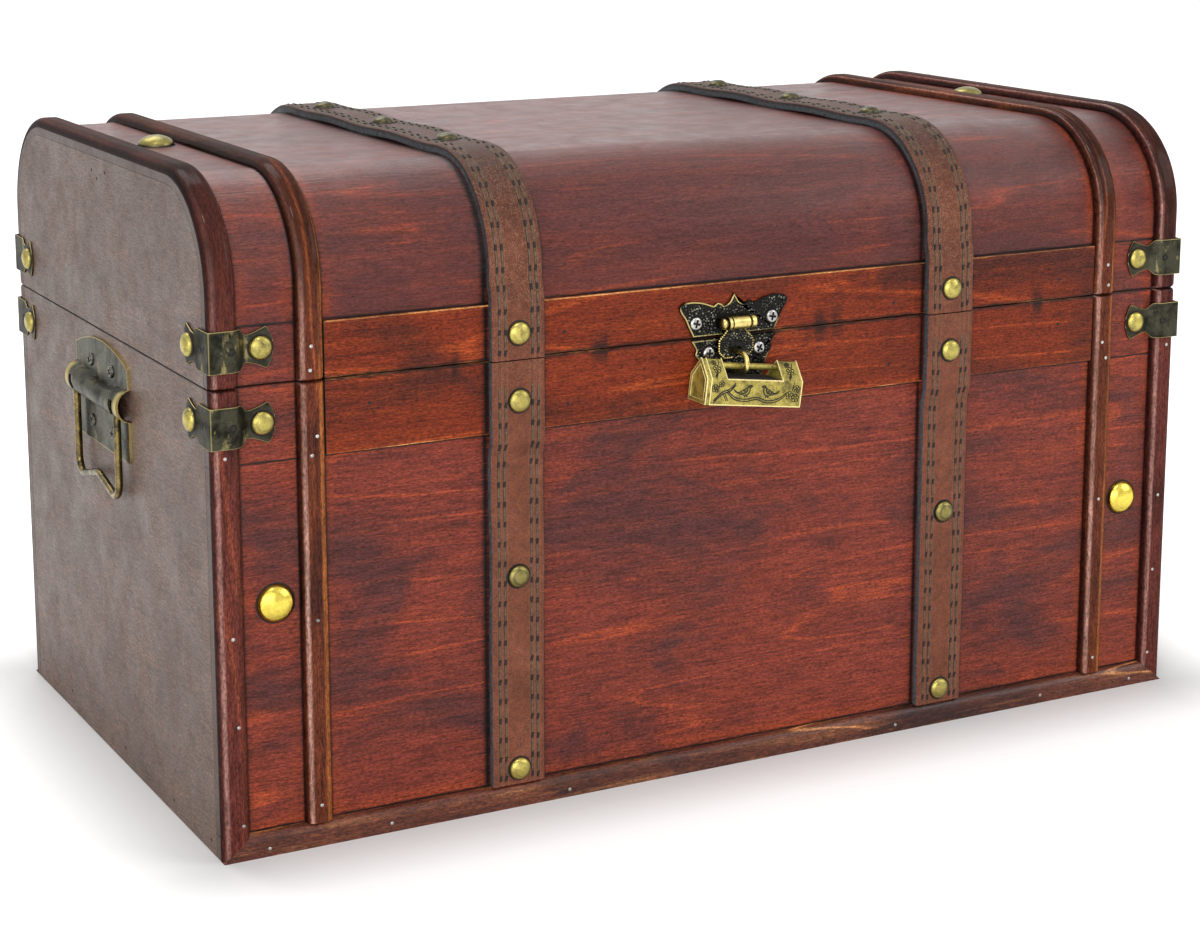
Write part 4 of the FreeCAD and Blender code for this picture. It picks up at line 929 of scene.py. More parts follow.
def nails():
    over_batten = STRAP_THICK + BATTEN
    rim_nail, foot_nail, lid_nail = 184.5, 18.0, 214.0
    left_dome, right_dome = 109, 98
    top_rows = (-TOP_NAIL_PITCH, 0, TOP_NAIL_PITCH)
    lower = ((STRAP_MIDDLE_NAIL, STRAP_THICK), (foot_nail, STRAP_THICK))
    base = strap_nails((rim_nail, over_batten), *lower)
    lid = strap_nails((lid_nail, over_batten))
    base += at_brackets("base", BRACKET_NAIL, BRACKET_NAIL, BRACKET_THICK)
    lid += at_brackets("lid", BRACKET_NAIL, BRACKET_NAIL, BRACKET_THICK)
    lid += [("top", (x, y, TOP + STRAP_THICK)) for x in (-STRAP_X, STRAP_X) for y in top_rows]
    nail_heads("strap_nails_base", "base_stud_nails", "base", STUD, STUD_HEAD, base)
    nail_heads("strap_nails_lid", "lid_stud_nails", "lid", STUD, STUD_HEAD, lid)
    domes = both_faces(-DOME_X, 0.0, left_dome) + both_faces(DOME_X, 0.0, right_dome)
    nail_heads("dome_nails_base", "base_dome_nails", "base", DOME, DOME_HEAD, domes, age=0.65)
    domes = [("top", (x, 0, TOP)) for x in (-DOME_X, DOME_X)]
    nail_heads("dome_nails_lid", "lid_dome_nails", "lid", STUD, DOME_HEAD, domes, age=0.55)


def screw_form(radius, rise):
    """Low round head with a cross recess, and its tones."""
    arm, half = 0.62 * radius, 0.17 * radius
    quarter = [(arm, 0), (arm, half), (half, half), (half, arm)]
    cross = []
    for turn in range(4):
        spin = Matrix.Rotation(math.pi / 2 * turn, 2)
        cross += [spin @ Vector(point) for point in quarter]
    rings = []
    for share, height in ((1.0, 0.0), (1.0, 0.35), (0.9, 0.75), (0.72, 1.0)):
        rings.append([Vector((*(point.normalized() * radius * share), height * rise)) for point in cross])
    for share, height in ((1.0, 1.0), (0.85, 0.25)):
        rings.append([Vector((*(point * share), height * rise)) for point in cross])
    tones = []
    for tone in (0.0, 0.0, 0.0, 0.0, 0.4, 1.0):
        tones += [tone] * len(cross)
    return loft(rings), tones


def screw_heads(name, node, body, diameter, places, material=STEEL):
    """Screw heads, each turned by chance."""
    rise = 1.1
    shape = Shape()
    form, tones = screw_form(diameter / 2, rise)
    for side, point in places:
        spin = Matrix.Rotation(chance.uniform(0, math.pi / 2), 4, "Z")
        shape.add(form, facing(side, point) @ spin, tones)
    shape.piece(name, body, "screw_steel", [material], [node], sharp=35)


def screws():
    head, hinge_head = 6.0, 5.0
    above, below, beside = 11.75, 16.5, 15.2
    middle, level = HANDLE_MIDDLE
    handle = []
    for side, x in (("left", -END - HANDLE_THICK), ("right", END + HANDLE_THICK)):
        for z in (level + above, level - below):
            handle += [(side, (x, middle + across, z)) for across in (-beside, beside)]
    screw_heads("handle_screw_heads", "handle_screws", "base", head, handle, OLD_SCREW)
    for plate, body in (("upper", "lid"), ("lower", "base")):
        across, up = HASP_SCREWS[body]
        places = [("front", (HASP_X + sign * across, -HASP_FACE, HASP_SEAM + up)) for sign in (-1, 1)]
        screw_heads(f"hasp_{plate}_screw_heads", f"hasp_{body}_screws", body, head, places)
    hinge_x, hinge_stand, pitch = 155, BATTEN + 1.4, 40 / 3
    for body, z in (("base", 189.4), ("lid", 215.1)):
        places = []
        for x in (-hinge_x, hinge_x):
            places += [("back", (x + step * pitch, FACE + hinge_stand, z)) for step in (-1, 0, 1)]
        screw_heads(f"hinge_{body}_screw_heads", f"hinge_{body}_screws", body, hinge_head, places)


def bracket_half_height(distance):
    """Half height of a corner bracket at a distance from the corner: straight, waist, fishtail, tip."""
    full, waist, tip_drop = 8.75, 5.8, 6.3
    neck, narrow, tail = 12.6, 16.5, 25.2
    if distance < neck:
        return full
    if distance < narrow:
        return full - (full - waist) * smooth((distance - neck) / (narrow - neck))
    if distance < tail:
        return waist + (full - waist) * ((distance - narrow) / (tail - narrow)) ** 1.5
    return full - tip_drop * ((distance - tail) / (BRACKET_REACH - tail)) ** 1.7


def bracket_spot(distance):
    """Middle of the bracket's sheet in plan, from the corner of the moulding, and the way out."""
    middle = BRACKET_THICK / 2
    if distance < 0:
        return Vector((-middle, -distance)), Vector((-1, 0))
    bend_start, bend_length, bend_lean = 8.6, 8.6, 0.7
    share = min(1.0, max(0.0, (distance - bend_start) / bend_length))
    lean = bend_lean * math.sin(math.pi * share)
    return Vector((distance, -middle + MOULDING_PROUD * smooth(share))), Vector((lean, -1)).normalized()


def bracket_form():
    """Bent sheet with fishtail ends as a thick grid, worn at its rims, bright along its corner as wear and a
    painted highlight, and dull behind.
    """
    end_steps, front_steps = 48, 60
    rim_wear, corner_wear_and_highlight, face_tone, back_tone = -0.55, -0.3, 0.1, 0.6
    chamfer, corner_shift = 0.2, -0.32
    stations = []
    for i in range(end_steps + 1):
        distance = BRACKET_REACH * (i / end_steps - 1)
        stations.append((-distance, *bracket_spot(distance - 0.001)))
    corner = len(stations)
    stations.append((0.0, Vector((corner_shift, corner_shift)), Vector((-1, -1)).normalized()))
    for i in range(front_steps + 1):
        distance = BRACKET_REACH * i / front_steps
        stations.append((distance, *bracket_spot(distance)))
    levels = (-1.0, -0.98, -0.95, -0.8, -0.5, -0.2, 0.2, 0.5, 0.8, 0.95, 0.98, 1.0)
    rings = []
    tones = []
    for i, (distance, spot, out) in enumerate(stations):
        half = bracket_half_height(distance)
        at_tip = i in (0, len(stations) - 1)
        ring = []
        for side in (1, -1):
            for level in levels[::side]:
                rim = abs(level) > 0.97 or at_tip
                stand = BRACKET_THICK / 2 - (chamfer if abs(level) > 0.99 or at_tip else 0.0)
                place = spot + out * stand * side
                ring.append((place.x, place.y, half * level))
                # The corner line is bright as worn metal and as a painted highlight along the fold
                wear = rim_wear if rim else corner_wear_and_highlight if i == corner else face_tone
                tones.append(wear if side > 0 else back_tone)
        rings.append(ring)
    return loft(rings), tones


def brackets():
    """Corner brackets of the base and of the lid, with their small empty nail holes."""
    form, tones = bracket_form()
    eye = lathe([(1.6, 0.0), (1.5, 0.12), (1.15, 0.1), (1.1, -0.1)], 16)
    pit = lathe([(1.2, 0.04), (0.0, 0.04)], 16)
    from_end, from_face, proud = 9.0, 9.4, MOULDING_PROUD + BRACKET_THICK
    for body, z in BRACKET_LEVELS.items():
        shape = Shape()
        for x_sign, y_sign in itertools.product((-1, 1), (-1, 1)):
            corner = Vector((x_sign * END, y_sign * (FACE + MOULDING_PROUD), z))
            turn = Matrix.Diagonal(Vector((-x_sign, -y_sign, 1))).to_4x4()
            shape.add(form, Matrix.Translation(corner) @ turn, tones)
        for way, point in at_brackets(body, from_end, from_face, proud):
            shape.add(eye, facing(way, point), 0.9)
            shape.add(pit, facing(way, point), 1.0, look=1)
        name = f"corner_brackets_{body}"
        shape.piece(name, body, "bracket_brass", [BRACKET, HOLE], [f"{body}_corner_brackets"])


def handle_height(across, up, half):
    """How far the handle plate's outer face stands off the end panel, most along its channel."""
    channel_rise, low_root, high_root, draw = 5.9, 7.0, 7.2, 2.6
    drawn_in = math.cos(math.pi / 2 * across / half) ** 1.5 if abs(across) < half else 0.0
    root = low_root if up < 0 else high_root - draw * drawn_in
    share = math.sqrt(max(0.0, 1 - (up / root) ** 2))
    return HANDLE_THICK + channel_rise * share


def handle_rows(half, slot_lines, slot_foot, slot_top):
    """Rows of points (across, up) over the plate, with lines at the edges of its slots."""
    fold, parts, corner_radius, rim = 7.6, 6, 2.5, 0.5
    lowest, shoulder, arch = -26.0, 16.5, 7.0
    lines = (half, 37.4, 36.2, 35, *slot_lines, 22, 17, 12, 7, 3, 0.0)
    channel = [slot_foot, -7.4, -6.4, -5.4, -4.4, -3.4, -2.4, -1.2, 0.0, 1.2, slot_top]
    channel += [3.0, 3.6, 4.2, 4.8, 5.4, 6.0, 6.8, fold]
    rows = []
    for across in sorted({sign * line for sign in (-1, 1) for line in lines}):
        corner = max(0.0, abs(across) - (half - corner_radius))
        foot = lowest + corner_radius - math.sqrt(max(0.0, corner_radius**2 - corner**2))
        crown = shoulder + arch * (1 - (across / half) ** 2)
        ups = [foot, foot + rim] + [foot + (slot_foot - foot) * i / parts for i in range(1, parts)]
        ups += channel
        ups += [fold + (crown - fold) * i / parts for i in range(1, parts)] + [crown - rim, crown]
        rows.append([(across, up) for up in ups])
    return rows


def handle_tone(across, up):
    """Tone of the handle plate: worn at the ends of its channel, and darker in the hollow above it with
    painted shade and some dirt.
    """
    even, wear, dirt_and_shade = 0.1, 0.9, 0.8
    nose_start, nose_fade, nose_level = 31.5, 4, 8
    hollow_half, hollow_fade, hollow_foot, hollow_top = 24, 10, 3.5, 9.5
    nose = smooth((abs(across) - nose_start) / nose_fade) * smooth((nose_level - abs(up)) / 2)
    # Painted shade in the hollow above the channel, with some dirt
    hollow = smooth((hollow_half - abs(across)) / hollow_fade)
    hollow = hollow * smooth((up - hollow_foot) / 1.5) * smooth((hollow_top - up) / 2)
    return even - wear * nose + dirt_and_shade * hollow


def handle_plate_form():
    """Stamped sheet with an arched top and a hollow channel, slotted for the bail, and its tones."""
    half, rim_wear = 38.0, -0.9
    slot_inner, slot_outer = 26.8, 32.4
    slot_foot, slot_top = -8.0, 2.4
    rows = handle_rows(half, (slot_outer, 29.6, slot_inner), slot_foot, slot_top)
    count = len(rows[0])
    points = []
    tones = []
    for sink in (0.0, HANDLE_THICK):
        for i, row in enumerate(rows):
            for j, (across, up) in enumerate(row):
                border = i in (0, len(rows) - 1) or j in (0, count - 1)
                points.append((across, up, handle_height(across, up, half) - sink))
                tones.append(rim_wear if border else handle_tone(across, up))
    solid = set()
    for i, j in itertools.product(range(len(rows) - 1), range(count - 1)):
        across = (rows[i][j][0] + rows[i + 1][j][0]) / 2
        up = (rows[i][j][1] + rows[i][j + 1][1]) / 2
        if not (slot_inner < abs(across) < slot_outer and slot_foot < up < slot_top):
            solid.add((i, j))
    layer = len(rows) * count
    faces = []
    for i, j in sorted(solid):
        a, b = i * count + j, (i + 1) * count + j
        faces.append((a, b, b + 1, a + 1))
        faces.append((layer + a, layer + a + 1, layer + b + 1, layer + b))
        walls = (
            ((i, j - 1), (a, b)),
            ((i + 1, j), (b, b + 1)),
            ((i, j + 1), (b + 1, a + 1)),
            ((i - 1, j), (a + 1, a)),
        )
        for neighbour, (start, finish) in walls:
            if neighbour not in solid:
                faces.append((start, layer + start, layer + finish, finish))
    used = sorted({i for face in faces for i in face})
    index = {old: new for new, old in enumerate(used)}
    points = [points[i] for i in used]
    tones = [tones[i] for i in used]
    return (points, [tuple(index[i] for i in face) for face in faces]), tones


def handles():
    form, tones = handle_plate_form()
    for side, point in both_ends(*HANDLE_MIDDLE):
        shape = Shape().add(form, facing(side, point), tones)
        node = f"handle_plate_{side}"
        shape.piece(f"handle_sheet_{side}", "base", "handle_brass", [HANDLE], [node], sharp=50)


# Right halves of the hasp's two plates, as points (across, up) from the seam
UPPER_HALF = (
    (21.0, 0.9), (22.4, 3.6), (23.6, 6.0), (25.0, 9.0), (27.0, 11.9), (27.9, 14.4), (26.2, 16.3),
    (21.5, 16.9), (16.2, 16.1), (11.6, 14.5), (10.3, 14.3), (8.6, 15.4), (6.6, 14.8), (5.2, 13.8),
    (2.6, 15.0), (1.3, 16.8), (0, 19.2),
)
LOWER_HALF = (
    (21.8, -0.9), (20.8, -2.7), (19.4, -5.2), (19.8, -7.4), (18.2, -9.8), (16.8, -12.6), (16.4, -16.0),
    (14.6, -19.5), (10.6, -22.4), (5.6, -23.2), (2.6, -22.6), (0, -24.5),
)


def butterfly(half):
    """Closed outline of a plate from the line of its right half."""
    right = curve(half)
    return right + [Vector((-p.x, p.y)) for p in reversed(right[:-1])]


def inset(outline, amount):
    """Outline moved inwards by an amount."""
    area = sum(a.x * b.y - a.y * b.x for a, b in zip(outline, outline[1:] + outline[:1]))
    moved = []
    for i, point in enumerate(outline):
        along = outline[(i + 1) % len(outline)] - outline[i - 1]
        inward = Vector((-along.y, along.x)).normalized() * (1 if area > 0 else -1)
        moved.append(point + inward * amount)
    return moved


def cast_plate(shape, outline, place):
    """Plate with a raised rim, rubbed bright in places. Its levels are (inset, height, tone)."""
    levels = ((0.0, 0.0, 0.8), (0.0, 1.3, -0.5), (0.25, 1.55, -0.9), (0.6, 1.5, -0.6), (0.8, HASP_THICK, 0.6))
    even_rub, rub_fade, rub_spread, rub_patch, dull = 0.75, 50, 1.3, 6, 0.5
    rings = []
    tones = []
    for amount, height, tone in levels:
        ring = inset(outline, amount)
        rings.append([Vector((*p, height)) for p in ring])
        for p in ring:
            patch = noise.noise(Vector((p.x / rub_patch, p.y / rub_patch, 1.0)))
            rubbed = smooth(even_rub - p.x / rub_fade + rub_spread * patch)
            tones.append(tone * rubbed + dull * (1 - rubbed) if tone < 0 else tone)
    shape.add(loft(rings), place, tones)


def inside(outline, spot):
    """Whether a spot lies within a closed outline."""
    within = False
    for a, b in zip(outline, outline[1:] + outline[:1]):
        if (a.y > spot.y) != (b.y > spot.y):
            cross = a.x + (spot.y - a.y) * (b.x - a.x) / (b.y - a.y)
            within = within != (spot.x < cross)
    return within


def cast_grains(shape, outline, place, keep_out, spacing=1.15):
    """Cast texture: small lumps strewn inside an outline."""
    lump = lathe([(1.0, 0.0), (0.9, 0.35), (0.55, 0.75), (0, 0.9)], 8)
    tries, border = 4000, 1.0
    spots = []
    lows = [min(p[i] for p in outline) for i in (0, 1)]
    highs = [max(p[i] for p in outline) for i in (0, 1)]
    for _ in range(tries):
        spot = Vector((chance.uniform(lows[0], highs[0]), chance.uniform(lows[1], highs[1])))
        if not inside(outline, spot):
            continue
        if min((spot - p).length for p in outline) < border:
            continue
        if any((spot - Vector(centre)).length < reach for centre, reach in keep_out):
            continue
        if any((spot - other).length < spacing for other in spots):
            continue
        spots.append(spot)
        size = chance.uniform(0.3, 0.62)
        stretch = Matrix.Diagonal(Vector((size * chance.uniform(1.0, 1.6), size, 0.45))).to_4x4()
        spin = Matrix.Rotation(chance.uniform(0, math.pi), 4, "Z")
        lift = place @ Matrix.Translation(Vector((*spot, 0)))
        shape.add(lump, lift @ spin @ stretch, chance.uniform(0.0, 1.2), look=1)


def hasp_plates():
    """Butterfly plates with a cast texture. The upper one carries the knuckles of the hasp's pin."""
    gap, ledge_inset, ledge_rise = 0.25, 0.5, 0.35
    screw_clear, pin_clear, pin_spots = 4.0, 4.2, (-6, -2, 2, 6)
    foot = facing("front", (HASP_X, -FACE - BATTEN, HASP_SEAM))
    top = facing("front", (HASP_X, -HASP_FACE, HASP_SEAM))
    plates = (("upper", "lid", UPPER_HALF, gap), ("lower", "base", LOWER_HALF, -gap))
    for plate, body, half, edge in plates:
        outline = butterfly(half)
        shape = Shape()
        cast_plate(shape, outline, foot)
        # A low dark ledge runs along the seam
        low, high = sorted((edge, half[0][1]))
        wide = half[0][0] - ledge_inset
        shape.add(block((-wide, low, 0.0), (wide, high, ledge_rise)), foot, 1.0)
        across, up = HASP_SCREWS[body]
        keep_out = [((sign * across, up), screw_clear) for sign in (1, -1)]
        if body == "lid":
            keep_out += [((x, HASP_AXIS.z - HASP_SEAM), pin_clear) for x in pin_spots]
        cast_grains(shape, outline, top, keep_out)
        if body == "lid":
            knuckles(shape)
        metals = [HASP, GRAIN_METAL, BRIGHT]
        shape.piece(f"hasp_{plate}_casting", body, "hasp_brass", metals, [f"hasp_{plate}_plate"])


def turned(shape, profile, sign, look):
    """Turned form on the hasp's axis, whose hollows are dark."""
    points, faces = lathe(profile, 28)
    widest = max(radius for radius, height in profile)
    tones = [1.0 if math.hypot(p[0], p[1]) < 0.85 * widest else -0.3 for p in points]
    place = Matrix.Translation(HASP_AXIS) @ Matrix.Rotation(sign * math.pi / 2, 4, "Y")
    shape.add((points, faces), place, tones, look)


def knuckles(shape):
    """End knuckles of the hasp, a ball on the left and a collar on the right, each on a short web."""
    ball = [(0, 9.1), (1.2, 8.95), (2.1, 8.4), (2.6, 7.6), (2.5, 6.8), (1.9, 6.2), (1.9, 5.75), (0, 5.65)]
    collar = [(0, 9.0), (1.5, 8.95), (2.5, 8.8), (2.95, 8.4), (2.95, 6.5), (2.3, 6.2), (2.3, 5.75), (0, 5.65)]
    web_inner, web_outer, web_half, web_depth = 5.7, 8.6, 2.2, 3.6
    for sign, profile in ((-1, ball), (1, collar)):
        turned(shape, profile, sign, 2)
        left, right = sorted((sign * web_inner, sign * web_outer))
        web = block((left, 0, -web_half), (right, web_depth, web_half))
        shape.add(web, Matrix.Translation(HASP_AXIS), 0.6)


def hasp_barrel():
    """Polished sleeve with a collar at its left end, on the hasp's tongue."""
    sleeve = [(2.2, -5.35), (3.0, -5.25), (3.0, -3.9), (2.2, -3.75)]
    sleeve += [(2.2, -3.35), (2.95, -3.2), (2.95, 5.2), (2.2, 5.35)]
    shape = Shape()
    turned(shape, sleeve, 1, 0)
    shape.piece("hasp_barrel_sleeve", "hasp_tongue", "hasp_brass", [BRIGHT])


def tongue_relief():
    """Beaded borders and lumps on the hasp's tongue."""
    reach, wide, front = 16.2, 9.3, -141.6
    half = [
        (2.9, -reach, 0),
        (0.7 * wide, -reach, 0.06 * reach),
        (wide, -0.82 * reach, 0.15 * reach),
        (wide, -0.5 * reach, 0.15 * reach),
        (5.3, -0.25 * reach, 0.1 * reach),
        (5.3, -3.4, 0),
    ]
    outline = rounded(half + [(-x, z, r) for x, z, r in reversed(half)], 15)
    place = facing("front", (HASP_X, front, HASP_AXIS.z))
    shape = Shape()
    bead = lathe([(1.0, 0.0), (0.92, 0.4), (0.6, 0.8), (0, 1.0)], 8)
    bead_radius, bead_height, bead_inset, bead_lift = 0.52, 0.55, 0.55, 0.3
    size = Matrix.Diagonal(Vector((bead_radius, bead_radius, bead_height))).to_4x4()
    pitch = 1.15
    edge = rounded(half, 10)
    walked = 0.0
    for start, finish in zip(edge, edge[1:]):
        step = (finish - start).length
        while walked < step:
            spot = start.lerp(finish, walked / step)
            for sign, rubbed in ((-1, -0.6), (1, 0.7)):
                lift = Matrix.Translation(Vector((sign * (spot.x - bead_inset), spot.y + bead_lift, 0)))
                shape.add(bead, place @ lift @ size, rubbed, look=2)
            walked += pitch
        walked -= step
    slot_start, slot_step, slot_clear = -0.7 * reach, 0.6, 3.9
    slot = [((0, slot_start - slot_step * i), slot_clear) for i in range(9)]
    cast_grains(shape, outline, place, slot, 1.0)
    shape.piece("hasp_tongue_relief", "hasp_tongue", "hasp_brass", [HASP, GRAIN_METAL, BRIGHT])


# The padlock hangs a little askew. Its section is drawn as points (y, z) in its own frame.
LOCK_ORIGIN = Vector((HASP_X, -147.6, 189.65))
LOCK_LEAN = math.radians(7.5)
LOCK_SHIFT = Vector((3.0, 0, 0))
LOCK_PLACE = Matrix.Translation(LOCK_ORIGIN) @ Matrix.Rotation(LOCK_LEAN, 4, "Y")
LOCK_PLACE = LOCK_PLACE @ Matrix.Translation(LOCK_SHIFT)
LOCK_SECTION = ((-7.35, -16.55), (-7.35, -5.05), (0, 2.95), (7.0, -5.05), (7.0, -16.55))
LOCK_HALF_DEPTH = 7.5
LOCK_ENDS = (-22.5, 24.85)
LOCK_NOTCH = 14.7

# Half widths of engraved lines
FINE = 0.24
PETAL = 0.31
BRANCH = 0.34
FEATHER = 0.40


def engraved(shape, path, place, radius, closed=False):
    """Dark line let into a face."""
    shape.add(tube([Vector((*point, 0.02)) for point in path], radius, 6, closed, 0.5), place)


def blossom(shape, place, across, up, size):
    """Five round petals in a ring."""
    petals, sides, tilt = 5, 10, 0.3
    ring_radius, petal_radius = 0.62 * size, 0.36 * size
    for petal in range(petals):
        angle = 2 * math.pi * petal / petals + tilt
        middle = Vector((across + ring_radius * math.cos(angle), up + ring_radius * math.sin(angle)))
        arm = Vector((petal_radius, 0))
        ring = [middle + Matrix.Rotation(2 * math.pi * i / sides, 2) @ arm for i in range(sides)]
        engraved(shape, ring, place, PETAL, closed=True)


def twig(shape, place, points):
    """Branch drawn by two lines that run together."""
    line = curve(points, 6)
    for shift in (-0.5, 0.5):
        engraved(shape, [(p.x, p.y + shift) for p in line], place, BRANCH)


BIRD = (
    ((2.6, 3.3), (1.6, 3.9), (0.4, 3.5), (-0.5, 2.4), (-2.6, 1.4), (-4.4, 0.3), (-6.6, -0.2), (-9.0, 1.4)),
    ((2.6, 3.3), (1.5, 2.9), (1.3, 1.8), (1.2, 0.4), (0.0, -1.2), (-1.8, -1.7), (-3.6, -1.2),
     (-5.0, -0.9), (-8.2, 0.2)),
    ((-0.3, 1.9), (-0.9, 0.4), (-2.6, -0.5), (-4.3, -0.2)),
    ((-1.5, 0.9), (-2.7, 0.4)),
    ((0.5, 2.9), (0.9, 3.0)),
    ((-0.6, -1.5), (-0.4, -2.6)),
    ((-1.8, -1.7), (-1.7, -2.7)),
)


def bird(shape, place, across, up, way):
    """Small bird on a branch, drawn in line, looking one way."""
    size = 0.82
    for stroke in BIRD:
        line = curve([(across + way * size * x, up + size * z) for x, z in stroke], 4)
        engraved(shape, line, place, FEATHER)


LEFT_TWIG = ((-20.8, -15.2), (-16.8, -11.4), (-12.6, -9.6), (-10.2, -7.0))
LONG_TWIG = (
    (-14.4, -10.2), (-10.0, -13.4), (-4.0, -14.2), (1.5, -13.2), (7.0, -14.6), (12.5, -13.8), (17.2, -10.6)
)
BLOSSOMS = (
    (-20.4, -9.2, 1.9), (-17.4, -7.2, 1.5), (18.6, -11.4, 2.0), (21.8, -12.6, 2.0), (22.2, -8.4, 1.7)
)
LEAF_LINES = (
    ((-16.0, -11.8), (-14.2, -14.8)), ((-15.2, -11.6), (-13.4, -14.6)), ((19.8, -9.4), (20.6, -5.4))
)


def lock_scene(shape, place):
    """Two birds that face each other on blossoming branches."""
    twig(shape, place, LEFT_TWIG)
    twig(shape, place, LONG_TWIG)
    bird(shape, place, -3.4, -10.6, 1)
    bird(shape, place, 5.8, -10.6, -1)
    for across, up, size in BLOSSOMS:
        blossom(shape, place, across, up, size)
    for line in LEAF_LINES:
        engraved(shape, line, place, FINE)


def padlock_engraving():
    """Ornament on the padlock.

    Birds are in front and behind, blossoms on the shoulders, and the hollow of the notch is painted dark as
    shade.
    """
    eave_level, roof_rise = -5.0, 8.1
    shoulders = ((-22.2, -15.3), (15.3, 24.2))
    notch_low, notch_high = (-14.9, -6.6, -5.2), (14.9, 6.6, -4.92)
    shape = Shape()
    for side, y in (("front", -LOCK_HALF_DEPTH), ("back", LOCK_HALF_DEPTH)):
        lock_scene(shape, LOCK_PLACE @ facing(side, (0, y, 0)))
    slope = math.atan2(roof_rise, LOCK_HALF_DEPTH)
    for x_low, x_high in shoulders:
        for sign, side in ((-1, "front"), (1, "back")):
            turn = Matrix.Rotation(sign * (slope - math.pi / 2), 4, "X")
            eave = Matrix.Translation(Vector((0, sign * LOCK_HALF_DEPTH, eave_level)))
            place = LOCK_PLACE @ eave @ turn.inverted() @ FACING[side]
            middle = -sign * (x_low + x_high) / 2
            blossom(shape, place, middle + 0.2, 5.2, 2.1)
            blossom(shape, place, middle - 0.8, 8.4, 1.3)
            twig(shape, place, ((middle - 1.6, 1.0), (middle - 0.6, 2.4), (middle, 3.8)))
            engraved(shape, [(middle + 1.4, 7.0), (middle + 2.2, 9.4)], place, FINE)
    # A dark slab paints the shade in the hollow of the notch
    shape.add(block(notch_low, notch_high), LOCK_PLACE)
    shape.piece("padlock_engraving", "padlock", "lock_brass", [HOLE])


def lock_edges():
    """Bright edges of the padlock's case and of the bolt's end plate, rubbed and partly a painted highlight.
    """
    thin, thick = 0.34, 0.36
    front, foot = LOCK_SECTION[0]
    eave = LOCK_SECTION[1][1]
    case = Shape()
    for x in LOCK_ENDS:
        case.add(tube([(x, y, z) for y, z in LOCK_SECTION], thin, 8, closed=True), LOCK_PLACE)
    for x in (-LOCK_NOTCH, LOCK_NOTCH):
        case.add(tube([(x, y, z) for y, z in LOCK_SECTION[1:4]], thick, 8), LOCK_PLACE)
    case.add(tube([(x, front, foot) for x in LOCK_ENDS], thin, 8), LOCK_PLACE)
    case.add(tube([(x, front, eave) for x in (-LOCK_NOTCH, LOCK_NOTCH)], thick, 8), LOCK_PLACE)
    case.piece("padlock_case_edges", "padlock", "lock_brass", [LOCK_EDGE])
    plate = Shape()
    plate_end, field_end, field_line = -24.75, -24.85, 0.3
    field = ((-5.8, -15.0), (-5.8, -5.75), (0, 0.55), (5.8, -5.75), (5.8, -15.0))
    for x, section, radius in ((plate_end, LOCK_SECTION, thin), (field_end, field, field_line)):
        plate.add(tube([(x, y, z) for y, z in section], radius, 8, closed=True), LOCK_PLACE)
    plate.piece("padlock_plate_edges", "padlock_bolt", "lock_brass", [LOCK_EDGE])


# Pins in the mouldings and strips, and nail marks in the battens, as points (x, z)
BASE_PINS = (
    (-244.7, 174), (-243.5, 97.4), (-242, 59), (-241, 15.6), (-229.8, 3.5), (-174, 4), (87.7, 3.5),
    (-204.5, 179), (-207, 171), (-206, 18.3), (-206, 100),
)
LID_PINS = ((-206.3, 217), (-207, 207))
BASE_MARKS = ((-87, 179.7), (80.8, 180), (178.7, 190), (-180, 190))
LID_MARKS = ((-88.6, 211.6), (82.9, 209), (178.7, 212))


def pins():
    """Small steel pins and dark nail marks in the wood."""
    head = lathe([(0.8, 0.0), (0.75, 0.12), (0.45, 0.25), (0, 0.3)], 12)
    mark = lathe([(0.85, -0.3), (0.8, 0.06), (0, 0.05)], 12)
    base_extra = [both_ends(y, 8.0 + 0.02 * y) for y in (75.8, -8.3, -77, -125, 125)]
    lid_extra = []
    for y in (67, 15, -32, -86):
        lid_extra.append([("top", (x, y, TOP + MOULDING_PROUD)) for x in (-246, 246)])
    lid_extra += [both_ends(y, z) for y, z in ((10.5, 274.4), (-9, 275.3), (3, 271.3))]
    kinds = (("base", BASE_PINS, BASE_MARKS, base_extra), ("lid", LID_PINS, LID_MARKS, lid_extra))
    for body, pin_spots, mark_spots, extra in kinds:
        shape = Shape()
        for x, z in pin_spots:
            for side, point in both_faces(x, MOULDING_PROUD, z) + both_faces(-x, MOULDING_PROUD, z):
                shape.add(head, facing(side, point))
        marks = [both_faces(x, BATTEN, z) for x, z in mark_spots] + extra
        for side, point in itertools.chain(*marks):
            shape.add(mark, facing(side, point), look=1)
        shape.piece(f"{body}_pins", body, "screw_steel", [STEEL, HOLE])


def surroundings():
    """White surroundings, which light the chest softly."""
    world = bpy.context.scene.world or bpy.data.worlds.new("studio")
    bpy.context.scene.world = world
    world.use_nodes = True
    tree = Tree(world.node_tree)
    background = world.node_tree.nodes["Background"]
    level = tree.add("MapRange", {"Value": tree.seen(), "To Min": 0.3, "To Max": 1.0})
    tree.put(background.inputs["Color"], (1, 1, 1))
    tree.put(background.inputs["Strength"], level)


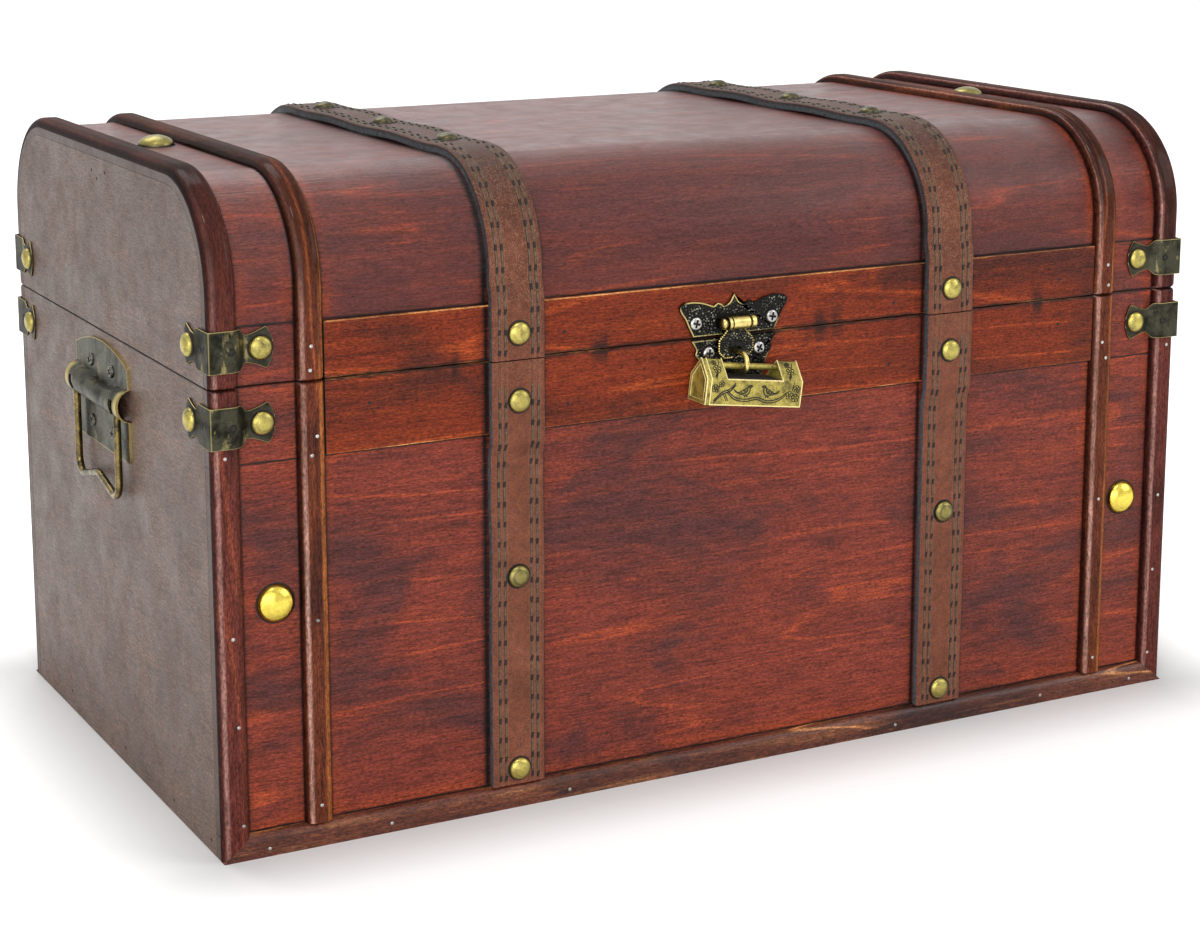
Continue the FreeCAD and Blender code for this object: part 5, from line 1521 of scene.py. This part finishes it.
def floor():
    """White floor, on which the chest's shadow fades with the distance from its foot; its own glow is weaker
    near the foot, which paints shade there as well.
    """
    look = Look("studio_floor")
    half_foot = (0.25, 0.14, 0)
    beyond = look.vector("SUBTRACT", look.vector("ABSOLUTE", look.place), half_foot)
    away = look.vector("LENGTH", look.vector("MAXIMUM", beyond), output="Value")
    # Painted shade: the glow falls away close to the chest's foot
    level = look.ramp(away / 4.0, (0.0, 0.0), (0.002, 0.04), (0.0125, 0.46), (0.05, 0.72), (0.7, 0.8))
    white = look.shade(
        base_color=(0.86, 0.86, 0.86),
        roughness=0.9,
        emission_color=(1, 1, 1),
        emission_strength=look.seen() * level,
    )
    reach = 12.0
    corners = [(-reach, -reach, 0), (reach, -reach, 0), (reach, reach, 0), (-reach, reach, 0)]
    mesh = bpy.data.meshes.new("studio_floor")
    mesh.from_pydata(corners, [], [(0, 1, 2, 3)])
    mesh.materials.append(white)
    new_object("studio_floor", mesh)


def aimed(name, data, point, direction):
    """Lamp or camera at a point, looking in a direction."""
    holder = new_object(name, data)
    holder.location = point
    holder.rotation_mode = "QUATERNION"
    holder.rotation_quaternion = direction.to_track_quat("-Z", "Y")
    return holder


# Lamps in metres and watts: place, width and height, power
LAMPS = {
    "key": ((-1.3, -1.9, 0.8), (2.6, 1.5), 31.0),
    "fill": ((1.7, -1.4, 1.3), (1.2, 1.2), 13.0),
    "top": ((-0.2, 1.3, 2.2), (1.6, 1.2), 24.0),
    "glint": ((-0.45, -0.95, 2.3), (0.4, 0.25), 8.0),
}


def lamps():
    for name, (point, (wide, tall), power) in LAMPS.items():
        lamp = bpy.data.lights.new(name, "AREA")
        lamp.shape = "RECTANGLE"
        lamp.size = wide
        lamp.size_y = tall
        lamp.energy = power
        aimed(name, lamp, point, MIDDLE - Vector(point)).visible_camera = False


def camera():
    """Camera at the photograph's viewing angle."""
    place = (-0.5825, -1.0957, 0.4281)
    azimuth, elevation = -0.4906, 0.1942
    focal_pixels, image_width, shift = 2546.2, 1200, -0.12
    lens = bpy.data.cameras.new("camera")
    lens.sensor_width = 36
    lens.lens = focal_pixels * lens.sensor_width / image_width
    lens.shift_y = shift
    level = math.cos(elevation)
    back = Vector((math.sin(azimuth) * level, -math.cos(azimuth) * level, math.sin(elevation)))
    bpy.context.scene.camera = aimed("camera", lens, place, -back)


dress_wood()
dress_metal()
straps()
nails()
screws()
brackets()
handles()
hasp_plates()
hasp_barrel()
tongue_relief()
padlock_engraving()
lock_edges()
pins()
surroundings()
floor()
lamps()
camera()
bpy.context.scene.view_settings.view_transform = "Standard"
